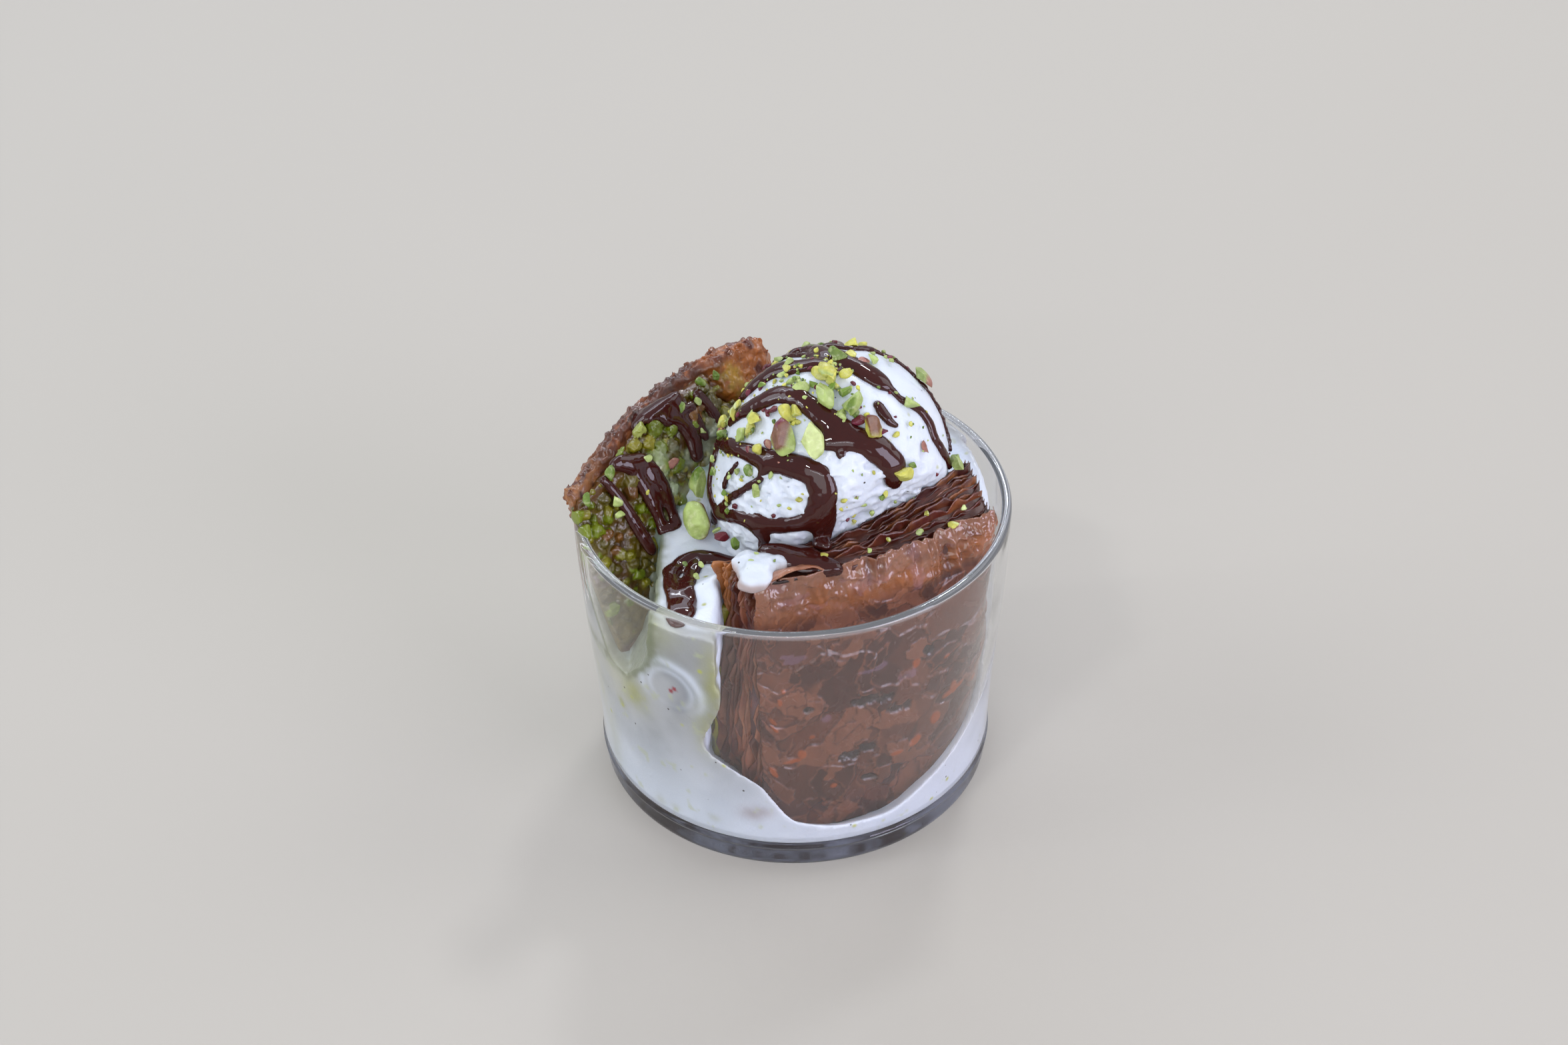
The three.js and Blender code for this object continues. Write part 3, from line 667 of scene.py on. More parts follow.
# %% Torn front of the scoop
def torn_share(towards):
    front = ease(-towards[..., 1] - 0.55 * towards[..., 2], 0.12, 0.6)
    back = ease(towards[..., 1] - 0.75 * towards[..., 2], 0.2, 0.7)
    return front + 0.7 * back


def torn_relief(points):
    flat = points * (1, 1, 1.9)
    ridges = ridged(flat, 5.2, 21, 4)
    crumbs = ridged(points, 1.9, 25, 2)
    return 0.62 * ridges + 0.36 * crumbs


torn = torn_share(scoop_towards)
soft = 0.35 * unevenness(scoop_points, 6, 31)
near = np.abs(ball) < 3
scoop = ball - soft
scoop[near] -= torn[near] * torn_relief(scoop_points[near])
meeting = pool_field(scoop_points) + 0.12
scoop_skin = soft_minimum(scoop, meeting, 2.2)
scoop_skin = np.maximum(scoop_skin, ball - 3.5)
print("torn part:", round(float(torn[near].mean()), 2), "of the scoop")

# %% [markdown]
# Gelato is white and a little wet, and light sinks into it and comes out softened, which is
# what Subsurface does. Tiny dark vanilla specks and green crumbs are coloured by noise.


# %% Gelato finish
SPECKS = [  # cells in a metre, full and no colour at, strength, channel, how rare, colour
    (560, 0.09, 0.17, 1, 0, 0.93, srgb(70, 66, 58)),
    (310, 0.05, 0.26, 0.9, 1, 0.9, srgb(176, 178, 84)),
]


def gelato_finish(name, painted=False):
    f = Finish(name)
    place = f.place()
    cloudy = f.noise(place, 90, 3)
    base = f.blend(cloudy, srgb(216, 222, 232), srgb(228, 233, 241))
    if painted:
        tint = f.tint()
        base = f.blend(1.0, base, tint, "MULTIPLY")
    for scale, near, far, most, channel, rare, colour in SPECKS:
        cells = f.add("TexVoronoi", {"Vector": place, "Scale": scale}, feature="F1")
        small = f.ramp(cells.outputs["Distance"], near, far, most, 0)
        number = f.add("SeparateColor", {0: cells.outputs["Color"]}).outputs[channel]
        chosen = f.ramp(number, rare, rare + 0.02)
        base = f.blend(f.math("MULTIPLY", small, chosen), base, colour)
    grain = f.noise(place, 1500, 3)
    lumps = f.noise(place, 420, 4)
    height = f.math("ADD", f.math("MULTIPLY", grain, 0.3), lumps)
    return f.principled({
        "Base Color": base,
        "Roughness": f.ramp(lumps, 0.3, 0.7, 0.28, 0.5),
        "Subsurface Weight": 0.55,
        "Subsurface Radius": (1.0, 0.92, 0.86),
        "Subsurface Scale": 0.0025,
        "IOR": 1.38,
        "Coat Weight": 0.15,
        "Coat Roughness": 0.15,
        "Normal": f.relief(height, 0.00035, 0.6),
    })


gelato_material = gelato_finish("gelato")
corners, faces = skin(scoop_skin, scoop_low, SCOOP_STEP, 0.05)
make_piece("gelato_ball", corners, faces, gelato_material, ["gelato_scoop"])

# %% [markdown]
# Seen through the glass the gelato looks greyer than in the open, so where it meets the wall
# it is painted grey, as painted shade. Pressed against the wall it shows a swirl left by the
# spoon. Such marks are painted on the corners of the mesh, at places given as a turn round the
# glass and a height.


# %% Grey and swirls on the gelato
def on_wall(points, turn, height, tall=1.0):
    """Distance along the wall, in mm, from a place on it. tall stretches the stain upwards."""
    turned_by = np.arctan2(points[:, 1], points[:, 0]) - math.radians(turn)
    return np.hypot(turned_by * inner_radius(height), (points[:, 2] - height) / tall)


corners, faces = skin(pool, pool_low, POOL_STEP)
x, y, z = corners.T
at_wall = ease(np.hypot(x, y), 39, 42)
cloud = crumple(corners, 9, 111)
fleck = crumple(corners, 1.6, 113)
WHITE = np.ones(3)
WALL_SHADE_LIGHT = np.array([0.58, 0.55, 0.51])
WALL_SHADE_DARK = np.array([0.42, 0.40, 0.365])
# the grey at the wall is painted shade, for how dark the gelato looks through the glass
wall_painted_shade = mixed(WALL_SHADE_LIGHT, WALL_SHADE_DARK, ease(cloud, -0.5, 0.9))
stains_and_shade = mixed(np.ones_like(corners), wall_painted_shade, at_wall)
# each swirl is turn, height, size, tall, worn: the first shows in the picture
SWIRLS = [(-125, 45, 1.0, 1.0, False), (160, 36, 1.9, 0.7, True), (64, 30, 2.3, 0.7, True),
          (8, 20, 1.6, 0.7, True)]
kept = 0.8 * ease(crumple(corners, 10, 117), -0.1, 0.5)  # how much is left of a worn ring
for turn, height, size, tall, worn in SWIRLS:
    from_swirl = on_wall(corners, turn, height, tall) / size + 0.5 * cloud
    inside_swirl = 1 - ease(from_swirl, 5.4, 7.0)
    stains_and_shade = mixed(stains_and_shade, 0.36 * WHITE, at_wall * inside_swirl * ease(cloud, -0.3, 0.8))
    upper_side = ease((z - height) / size, -7, 1)
    ring = bump(from_swirl - 7.3, 0.8) * upper_side
    ring = ring + 0.6 * bump(from_swirl - 5.0, 0.5) * upper_side
    left_over = kept if worn else 1
    stains_and_shade = mixed(stains_and_shade, 0.84 * WHITE, at_wall * np.clip(ring, 0, 1) * left_over)
print("swirls:", len(SWIRLS))

# %% [markdown]
# Stains are painted in the same way: soft spots in front and ragged ones at the back.
# Beside the left slice's filling the gelato has turned greenish.

# %% Stains of pistachio and syrup
OLIVE = paint(172, 168, 84)
CREAM = paint(214, 206, 176)
SYRUP_BROWN = paint(140, 84, 58)
RED_FLECK = paint(168, 52, 62)
# each stain is turn, height, size, tall, colour, strength
STAINS = [
    [-140.5, 37.6, 2.6, 1.1, OLIVE, 0.9], [-149, 40, 4.0, 1.4, CREAM, 0.8],
    [-157, 12, 2.2, 3.2, OLIVE, 0.6], [-163, 26, 3.0, 3.0, CREAM, 0.7],
    [-112, 50, 1.6, 4.0, OLIVE, 0.7], [-115, 36, 1.8, 2.4, OLIVE, 0.5],
    [-103.4, 14.6, 1.7, 0.8, SYRUP_BROWN, 0.9], [-100, 15.6, 1.4, 0.7, SYRUP_BROWN, 0.6],
    [-134, 9.0, 1.0, 1.0, OLIVE, 0.8], [-128, 9.6, 0.8, 0.8, OLIVE, 0.8],
    [-115, 11, 0.9, 0.8, OLIVE, 0.8], [-147, 31, 0.9, 1.0, OLIVE, 0.8],
    [-128, 59, 3.5, 0.8, OLIVE, 0.35], [172, 20, 2.4, 2.6, OLIVE, 0.6],
    [150, 50, 3.4, 1.2, CREAM, 0.7], [132, 30, 1.8, 3.6, OLIVE, 0.6],
    [116, 14, 1.6, 0.9, SYRUP_BROWN, 0.8], [104, 44, 1.6, 4.6, SYRUP_BROWN, 0.5],
    [92, 24, 3.0, 2.6, CREAM, 0.7], [78, 50, 1.4, 3.4, OLIVE, 0.6],
    [46, 46, 1.6, 4.4, SYRUP_BROWN, 0.5], [30, 40, 2.6, 2.0, CREAM, 0.7],
    [8, 34, 1.6, 4.0, OLIVE, 0.5], [60, 12, 1.8, 0.9, SYRUP_BROWN, 0.7],
    [-176, 32, 3.2, 1.4, CREAM, 0.6],
]
for turn, height, size, tall, colour, strength in STAINS:
    away = on_wall(corners, turn, height, tall) + 0.25 * size * fleck
    if turn < 0:
        spot = bump(away, size)
    else:
        spot = 0.8 * (1 - ease(away + 0.5 * size * cloud, 0.5 * size, 1.3 * size))
    stains_and_shade = mixed(stains_and_shade, colour, at_wall * strength * spot)
stains_and_shade = mixed(stains_and_shade, paint(206, 206, 150), ease(crumple(corners, 2.4, 115), 0.7, 1.0) * 0.45)
near_filling = bump(x + 28.0, 1.9) * ease(z, 47, 52)
pocket_edge = bump(z - 41.6 - 1.6 * np.maximum(x + 33, 0), 1.3)
pocket_edge = pocket_edge * (1 - ease(x, -29, -27)) * (1 - ease(y, -8, 0))
near_filling = np.maximum(near_filling, pocket_edge)
stains_and_shade = mixed(stains_and_shade, paint(128, 130, 88), near_filling * (0.6 + 0.3 * fleck))
in_pocket = left_pocket(corners, *pool_waves(corners))
in_pocket = ease(in_pocket, -2.0, -0.6) * ease(z, 40, 44) * (1 - ease(z, 61, 65))
in_pocket = np.clip(in_pocket, 0, 1) * (1 - ease(x, -27, -25)) * 0.8
stains_and_shade = mixed(stains_and_shade, paint(126, 128, 92), in_pocket)
# the bottom of the gelato is painted as a dark mottled band with pale patches, which the thick
# base shows
at_bottom = (1 - ease(z, 6.0, 6.9)) * (1 - ease(np.hypot(x, y), 37.5, 39.5))
mottled = ease(cloud + 0.6 * fleck, -0.6, 0.9)
mottled_bottom_band = mixed(paint(126, 110, 104), paint(234, 234, 242), mottled)
stains_and_shade = mixed(stains_and_shade, mottled_bottom_band, at_bottom)
for turn, height in ((-125.0, 44.6), (-123.8, 45.4)):
    spot = 1 - ease(on_wall(corners, turn, height), 0.35, 0.75)
    stains_and_shade = mixed(stains_and_shade, RED_FLECK, at_wall * spot)
above_face = left_coordinates(corners)[1] - LEFT_PASTRY - LEFT_FILLING
beside_filling = (1 - ease(above_face, 0.5, 3.5)) * ease(z, 52, 58)
stains_and_shade = mixed(stains_and_shade, paint(170, 190, 168), beside_filling * (0.5 + 0.5 * fleck))
make_piece("gelato_melted", corners, faces, gelato_finish("melted_gelato", painted=True),
           ["gelato_pool"], np.clip(stains_and_shade, 0, 1))

# %% [markdown]
# ## Leaves of pastry
# Baklava is a stack of paper-thin leaves, and it's their torn edges that show. Modelling
# every leaf right through would be wasteful, and noise on a block looks like wood. So each
# leaf is a thin wavy sheet with its own ragged edge, set round a dark core that fills the
# middle, and the sheets have fine steps near the edges that show and wide steps elsewhere.


# %% Thin sheets
def grid_quads(rows, columns, start=0):
    index = np.arange(rows * columns).reshape(rows, columns) + start
    corners = (index[:-1, :-1], index[1:, :-1], index[1:, 1:], index[:-1, 1:])
    return np.stack(corners, axis=-1).reshape(-1, 4)


def closed_sheet(front, back, start=0):
    """Faces of a sheet with two sides, front and back, each a grid of points."""
    rows, columns = front.shape[:2]
    count = rows * columns
    index = np.arange(count).reshape(rows, columns) + start
    rim = np.concatenate([index[0, :], index[1:, -1], index[-1, -2::-1], index[-2:0:-1, 0]])
    beside = np.roll(rim, -1)
    rim_faces = np.stack([rim, beside, beside + count, rim + count], axis=-1)
    sides = [grid_quads(rows, columns, start), grid_quads(rows, columns, start + count)[:, ::-1]]
    corners = np.concatenate([front.reshape(-1, 3), back.reshape(-1, 3)])
    return corners, np.concatenate([*sides, rim_faces])


def outward(corners, faces):
    """Turns the faces over if they look into the body."""
    a, b, c = (corners[faces[:, i]] for i in range(3))
    volume = np.einsum("ij,ij->i", a, np.cross(b, c)).sum()
    return faces if volume > 0 else faces[:, ::-1]


def steps(low, high, fine, coarse, fine_low=0.0, fine_high=0.0):
    """Values from low to high, close together near the ends that show."""
    values = [np.arange(low, low + fine_low, fine)] if fine_low else []
    values.append(np.arange(low + fine_low, high - fine_high, coarse))
    values.append(np.arange(high - fine_high, high + fine / 2, fine) if fine_high else [high])
    return np.concatenate(values)


print("columns of a leaf:", len(steps(-22, 32.5, 0.4, 0.6, fine_low=4)))

# %% [markdown]
# Where a slice meets the wall of the glass it's pressed against it. The simplest way to get
# that is to cut the finished slice with a body that is the room inside the glass and
# everything above the rim. The cut leaves corners that have no colour yet, so a way to
# colour them comes first.


# %% Colours of the cut faces
def tints_of(mesh):
    values = np.zeros(len(mesh.vertices) * 4, np.float32)
    mesh.attributes["tint"].data.foreach_get("color", values)
    return values.reshape(-1, 4)


def colour_cut_faces(mesh, before):
    """Gives each corner that the cut has made the colour of the nearest old corner."""
    tree = KDTree(len(before.vertices))
    for number, corner in enumerate(before.vertices):
        tree.insert(corner.co, number)
    tree.balance()
    old, new = tints_of(before), tints_of(mesh)
    bare = np.flatnonzero(new[:, 3] < 0.5)
    for number in bare:
        new[number] = old[tree.find(mesh.vertices[int(number)].co)[1]]
    mesh.attributes["tint"].data.foreach_set("color", new.ravel())
    mesh.shade_smooth()
    mesh.set_sharp_from_angle(angle=math.radians(50))
    print("coloured", len(bare), "corners of the cut")


print("a corner without a colour has an alpha under 0.5")

# %% [markdown]
# The body for the cut is a profile swept round the axis. Each slice reaches a little further
# into the wall than the gelato beside it. If both ended in one place, the render would show
# now the one and now the other, as a chequered patch.

# %% Cut to the glass
CRUST_REACH = 0.10
FILLING_REACH = 0.06
ROOM_HEIGHTS, ROOM_TURNS = 60, 300  # how finely the room is divided
ROOM_WIDTH, ROOM_TOP = 60.0, 120.0  # above the rim it is wider than all the food


def cut_to_glass(piece, beyond_gelato):
    """Cuts a piece to the glass. The body it is cut with is only a tool and is thrown away."""
    reach = INTO_WALL + beyond_gelato
    heights = np.linspace(BASE, GLASS_HEIGHT, ROOM_HEIGHTS)
    room = [(float(inner_radius(z)) + reach, z) for z in heights]
    room += [(ROOM_WIDTH, GLASS_HEIGHT), (ROOM_WIDTH, ROOM_TOP)]
    corners, faces = swept(room, ROOM_TURNS)
    mesh = bpy.data.meshes.new("room")
    mesh.from_pydata((corners * MM).tolist(), [], sum((group.tolist() for group in faces), []))
    room_tool = bpy.data.objects.new("room", mesh)
    bpy.context.scene.collection.objects.link(room_tool)
    cut = piece.modifiers.new("room", "BOOLEAN")
    cut.operation, cut.solver, cut.object = "INTERSECT", "MANIFOLD", room_tool
    before = piece.data
    finished = piece.evaluated_get(bpy.context.evaluated_depsgraph_get())
    piece.data = bpy.data.meshes.new_from_object(finished)
    piece.modifiers.clear()
    colour_cut_faces(piece.data, before)
    bpy.data.objects.remove(room_tool)
    bpy.data.meshes.remove(mesh)
    bpy.data.meshes.remove(before)
    print(piece.name, "cut to the glass:", len(piece.data.polygons), "faces")


print("the slices reach", INTO_WALL + CRUST_REACH, "mm into the wall")

# %% [markdown]
# Each leaf gets a brown of its own. Syrup makes some leaves dark and see-through, and dry
# ones stay pale. The colours are kept on the corners of the mesh, and the material reads
# them there.

# %% Browns of the pastry
PALE_LEAF = paint(186, 136, 98)
BROWN_LEAF = paint(142, 84, 52)
RED_LEAF = paint(112, 56, 40)
DARK_LEAF = paint(58, 32, 26)
GOLDEN_LEAF = paint(176, 112, 58)


def leaf_tint(points, seed, dark=0.0):
    worn = 0.5 + 0.5 * crumple(points, 7, seed)
    tint = mixed(BROWN_LEAF, PALE_LEAF, ease(worn, 0.45, 1.0) * 0.8)
    tint = mixed(tint, RED_LEAF, ease(1 - worn, 0.35, 0.9))
    return mixed(tint, DARK_LEAF, np.clip(dark, 0, 1) * np.ones(len(points)))


print("pale leaf:", np.round(PALE_LEAF, 2))

# %% [markdown]
# Pastry is matt where it's dry and shines where syrup has glazed it. One finish serves all
# leaves: `gloss` says how strong the clear coat is, and `grain` how rough the leaf is.


# %% Pastry finish
def pastry_finish(name, gloss, grain=1.0, gloss_low=None):
    f = Finish(name)
    place = f.place()
    tint = f.tint()
    mottle = f.noise(place, 260, 4, distortion=0.6)
    worn = f.ramp(mottle, 0.3, 0.7, 0.0, 0.55 * grain)
    base = f.blend(worn, tint, (0.55, 0.42, 0.34), "MULTIPLY")
    stretched = f.add("Mapping", {"Vector": place, "Scale": (1, 1, 0.35)}).outputs[0]
    streaks = f.noise(stretched, 900, 3)
    base = f.blend(f.ramp(streaks, 0.45, 0.75, 0, 0.35 * grain), base, tint, "ADD")
    flakes = f.noise(place, 700, 5)
    uneven = f.math("ADD", flakes, f.math("MULTIPLY", streaks, 0.5))
    coat = gloss
    if gloss_low is not None:  # pressed to the glass below the rim, it mirrors little there
        height = f.add("SeparateXYZ", {0: place}).outputs[2]
        coat = f.ramp(height, 0.057, 0.064, gloss_low, gloss)
    return f.principled({
        "Base Color": base,
        "Roughness": f.ramp(mottle, 0.3, 0.7, 0.5 - gloss * 0.2, 0.3 - gloss * 0.1),
        "Subsurface Weight": 0.12,
        "Subsurface Radius": (1.0, 0.45, 0.2),
        "Subsurface Scale": 0.0012,
        "Coat Weight": coat,
        "Coat Roughness": 0.06,
        "Coat IOR": 1.5,
        "Normal": f.relief(uneven, 0.0003 * grain, 0.6),
    })


leaf_material = pastry_finish("pastry_leaves", 0.35)
face_material = pastry_finish("glazed_face", 1.0, grain=0.4, gloss_low=0.1)
print("finishes of the pastry:", leaf_material.name, face_material.name)

# %% [markdown]
# ## The front slice
# The leaves of the front slice stand on edge behind its glazed face. Their top edges show
# above, and their left ends show at the cut side.

# %% Leaves of the front slice
LEAF = 0.16
front_random = np.random.default_rng(41)
leaf_corners, leaf_faces, leaf_tints = [], [], []


def add_leaf(front, back, tint):
    corners, faces = closed_sheet(front, back, 0)
    faces = outward(corners, faces) + sum(len(c) for c in leaf_corners)
    leaf_corners.append(corners)
    leaf_faces.append(faces)
    leaf_tints.append(np.clip(tint, 0, 1))


def take_leaves(name, material, replaces):
    make_piece(name, np.concatenate(leaf_corners), [np.concatenate(leaf_faces)],
               material, replaces, np.concatenate(leaf_tints))
    for pile in (leaf_corners, leaf_faces, leaf_tints):
        pile.clear()


def left_skew(z):
    """How much further left each deeper leaf reaches, more so near the foot."""
    return 0.2 + 0.2 * ease(-z, -60, -36)


def front_leaf(inward, seed, short, golden_share, bunch_number, lightness):
    t_line = steps(FRONT_LEFT, FRONT_RIGHT, 0.45, 0.62, fine_low=4, fine_high=2)
    z_line = steps(FRONT_FOOT, FRONT_TOP, 0.5, 2.4, fine_high=6)
    t, z = np.meshgrid(t_line, z_line, indexing="ij")
    flat = np.stack([t, z, np.full_like(t, inward * 3)], axis=-1)
    edge = crumple(flat * (1, 0.3, 1), 2.6, seed, 3)
    side = crumple(flat * (0.3, 1, 1), 2.4, seed + 5, 3)
    height = ease(z, FRONT_TOP - 7, FRONT_TOP)
    left = 1 - ease(t, FRONT_LEFT, FRONT_LEFT + 6)
    through = inward / FRONT_THICKNESS
    top_now = front_top(t, through) - short + 0.9 * edge
    foot = front_foot(t)
    z_now = foot + (top_now - foot) * (z - FRONT_FOOT) / (FRONT_TOP - FRONT_FOOT)
    bunch = unevenness(np.stack([0 * t, z * 0.6, 0 * t + 9.0 * bunch_number], axis=-1), 5, 404)
    skew = front_spread(z) + left_skew(z) * inward
    t_now = t - left * (skew - 1.0 * side - 1.3 * bunch - 0.3)
    notch = crumple(flat * (0.2, 1, 1), 6, seed + 15, 2)
    t_now = t_now + left * np.maximum(notch - 0.1, 0) * 3.0
    wave = unevenness(flat * (1, 0.6, 1), 7, seed + 9)
    end_wave = unevenness(np.stack([t * 0.3, z, 0 * t + inward * 0.5], axis=-1), 6, 405)
    wave = wave + left * 2.4 * end_wave
    ripple = unevenness(flat, 1.5, seed + 10)
    curl = height * 0.42 * crumple(flat * (1, 0, 1), 3.4, seed + 11, 2)
    depth = inward + 0.2 * wave + 0.15 * ripple + curl + left * 0.3 * side
    depth = np.clip(depth, 0.25, FRONT_THICKNESS)
    front = front_place(t_now, depth, z_now)
    back = front_place(t_now, depth + LEAF * (1 + 0.5 * ripple + 0.8 * left), z_now)
    spots = np.concatenate([front.reshape(-1, 3), back.reshape(-1, 3)])
    behind_glass = 1 - ease(spots[:, 2], 58, 70)
    tint = leaf_tint(spots, seed, 0.58 - 0.12 * behind_glass) * (0.95, 0.76, 0.74) * lightness
    tint = tint * mixed(np.ones(3), np.array([0.78, 0.58, 0.66]), ease(spots[:, 2], 65, 69))
    t_spots = np.concatenate([t.ravel(), t.ravel()])
    golden_patches = ease(crumple(spots, 3, seed + 13), -0.1, 0.7)
    golden = 0.62 * golden_share * golden_patches * (1 - behind_glass)
    strip = 0.9 * ease(np.full(len(spots), inward), 8.0, 9.5) * (1 - ease(t_spots, -21, -18))
    golden = np.maximum(golden, strip * ease(spots[:, 2], 52, 60))
    add_leaf(front, back, mixed(tint, GOLDEN_LEAF, golden))


depths = np.cumsum(front_random.uniform(0.42, 0.86, 18)) + 0.2
for number, inward in enumerate(depths[depths < FRONT_THICKNESS - 0.2]):
    front_leaf(inward, 400 + 20 * number, front_random.uniform(-0.2, 1.5),
               float(ease(inward, 1.8, 4)) * front_random.uniform(0.1, 0.9),
               number // 3, front_random.uniform(0.6, 1.25))
take_leaves("front_leaves", leaf_material, ["front_pastry"])

# %% [markdown]
# The core fills the space between the leaves, a little lower than their edges, and is painted
# dark, as painted shade, so that the slits between the leaves look deep.


# %% Core of the front slice
def block(place, across, deep, high):
    """A closed block: place gives the points of its six sides from three shares."""
    corners, faces, count = [], [], 0
    for fixed in range(3):
        for side in (0, 1):
            lines = [across, deep, high]
            lines[fixed] = np.array([side], float)
            a, b, c = np.meshgrid(*lines, indexing="ij")
            spots = place(a, b, c).squeeze(axis=fixed)
            corners.append(spots.reshape(-1, 3))
            faces.append(grid_quads(*spots.shape[:2], count))
            if (fixed + side) % 2 == 0:
                faces[-1] = faces[-1][:, ::-1]
            count += len(corners[-1])
    return np.concatenate(corners), np.concatenate(faces)


def welded(piece):
    """Joins the corners that lie on each other, so that the piece is one closed body."""
    shape = bmesh.new()
    shape.from_mesh(piece.data)
    bmesh.ops.remove_doubles(shape, verts=shape.verts, dist=1e-7)
    bmesh.ops.recalc_face_normals(shape, faces=shape.faces)
    shape.to_mesh(piece.data)
    shape.free()


def front_core_place(a, b, c):
    inward = between(0.75, FRONT_THICKNESS - 0.2, b)
    t = between(FRONT_LEFT + 0.9, FRONT_RIGHT - 0.6, a)
    foot = front_foot(t) + 0.4
    dip = 1.7 + 0.5 * unevenness(np.stack([t, inward, 0 * t], axis=-1), 3, 77)
    z = between(foot, front_top(t, inward / FRONT_THICKNESS) - dip, c)
    lean = front_spread(z) + left_skew(z) * inward - 0.8
    t = t - (1 - ease(a, 0, 0.2)) * lean
    return front_place(t, inward, z)


across, deep, high = (np.linspace(0, 1, count) for count in (90, 12, 40))
corners, faces = block(front_core_place, across, deep, high)
core_shade_tint = mixed(DARK_LEAF, RED_LEAF, 0.35 + 0.3 * unevenness(corners, 4, 79))
welded(make_piece("front_core", corners, [faces], leaf_material, tint=core_shade_tint))

# %% [markdown]
# The glazed face is what the picture shows most of. Above the rim it's one wrinkled glossy
# leaf, with painted highlights on its pleats and painted shade in their folds. Through the
# glass it's a patchwork of flattened flakes, lighter and darker, with thin raised borders that
# carry a painted highlight and a painted shadow, small holes painted dark as shade and a few
# orange drops of syrup. Painted window reflections lie on both parts. A patchwork is what
# a Voronoi pattern gives, once its borders are made ragged.

# %% Patchwork
PATCH_TABLE = 64


def patchwork(u, v, size, seed, ragged=0.35):
    """The values of the patch each point lies in and of the nearest other one, and the distance
    to the border between them, in mm."""
    random = np.random.default_rng(seed)
    table = random.uniform(0, 1, (PATCH_TABLE, PATCH_TABLE, 5))
    flat = np.stack([u, v, np.full_like(u, seed)], axis=-1)
    pushed = []
    for seed_now in (seed + 1, seed + 51):
        wide = crumple(flat, size * 0.8, seed_now, 2)
        narrow = crumple(flat, size * 0.25, seed_now + 4, 2)
        pushed.append(ragged * size * (0.7 * wide + 0.45 * narrow))
    u, v = u + pushed[0], v + pushed[1]
    cell_u, cell_v = np.floor(u / size).astype(int), np.floor(v / size).astype(int)
    nearest, second = np.full(u.shape, 1e9), np.full(u.shape, 1e9)
    own, other = np.zeros((*u.shape, 3)), np.zeros((*u.shape, 3))
    for du in (-1, 0, 1):
        for dv in (-1, 0, 1):
            entry = table[(cell_u + du) % PATCH_TABLE, (cell_v + dv) % PATCH_TABLE]
            centre_u = (cell_u + du + entry[..., 0]) * size
            centre_v = (cell_v + dv + entry[..., 1]) * size
            distance = np.hypot(u - centre_u, v - centre_v)
            closer = distance < nearest
            runner_up = ~closer & (distance < second)
            other = np.where(runner_up[..., None], entry[..., 2:], other)
            other = np.where(closer[..., None], own, other)
            own = np.where(closer[..., None], entry[..., 2:], own)
            second = np.where(closer, nearest, np.where(runner_up, distance, second))
            nearest = np.where(closer, distance, nearest)
    return own, other, (second - nearest) / 2


print("patchwork sample:", patchwork(np.zeros((1, 1)), np.zeros((1, 1)), 5, 3)[2].round(2))

# %% Flakes of the glazed face
FACE_STEP = 0.22
t_line = np.arange(FRONT_LEFT - 1.6, FRONT_RIGHT + FACE_STEP, FACE_STEP)
z_line = np.arange(FRONT_FOOT, FRONT_TOP + FACE_STEP, FACE_STEP)
t, z = np.meshgrid(t_line, z_line, indexing="ij")
flat = np.stack([t, z, np.zeros_like(t)], axis=-1)
above_rim = ease(z, 56, 62)
# each layer of flakes: how wide they are, the share that is still there, how thick
FLAKES = [(13.0, 0.48, 0.30), (7.6, 0.42, 0.26), (4.4, 0.3, 0.2)]
relief, tone, flake_edge_light_and_shade = np.zeros_like(t), np.zeros_like(t), np.zeros_like(t)
for number, (size, share, thick) in enumerate(FLAKES):
    own, other, border = patchwork(t, z * 1.12, size, 501 + number, 0.26)
    here, there = own[..., 0] < share, other[..., 0] < share
    present = between(0.5 * (here * 1.0 + there), here * 1.0, ease(border, 0, 0.25))
    relief = relief + thick * present
    tone = tone + (1.2 * own[..., 1] - 0.6) * present
    # each flake's border gets a painted highlight on the flake and a painted shadow just outside
    # it
    flake_edge_light_and_shade = flake_edge_light_and_shade + (here != there) * np.where(here, 1, -1) * (1 - ease(border, 0.1, 0.5))
print("flakes lie", round(float(relief.max()), 2), "mm deep")

# %% Wrinkles of the glazed face
lean = t + 0.10 * (z - 60) + 1.4 * unevenness(flat, 9, 511)
pleat_points = np.stack([lean, z * 0.13, np.zeros_like(t)], axis=-1)
pleats = ridged(pleat_points, 3.4, 521, 3)
pleat_share = ease(z, 52, 66) * (0.3 + 0.7 * ease(t, -8, 10))
folds = ridged(np.stack([t * 0.6, z, 0 * t], axis=-1), 3.2, 533, 3)
relief = relief * (1 - 0.8 * above_rim) + 0.35 * unevenness(flat, 14, 535)
pleats = pleats * np.clip(0.6 + 0.9 * unevenness(flat * (1, 0.5, 1), 5, 525), 0.05, 1.2)
crinkles = ridged(flat * (1, 0.8, 1), 2.1, 537, 3)
relief = relief + pleat_share * 1.25 * pleats
relief = relief + above_rim * (0.7 * unevenness(flat, 5, 531) + 0.35 * folds + 0.26 * crinkles)
relief = relief + 0.04 * crumple(flat, 1.6, 541, 2)


def marks(places, ragged=0.45):
    """Small ragged spots on the face; each place is t, z, half its width and half its height."""
    rough = crumple(flat, 1.8, 561, 3)
    total = np.zeros_like(t)
    for place_t, place_z, half_wide, half_high in places:
        away = np.hypot((t - place_t) / half_wide, (z - place_z) / half_high)
        total = np.maximum(total, 1 - ease(away + ragged * rough, 0.75, 1.15))
    return total


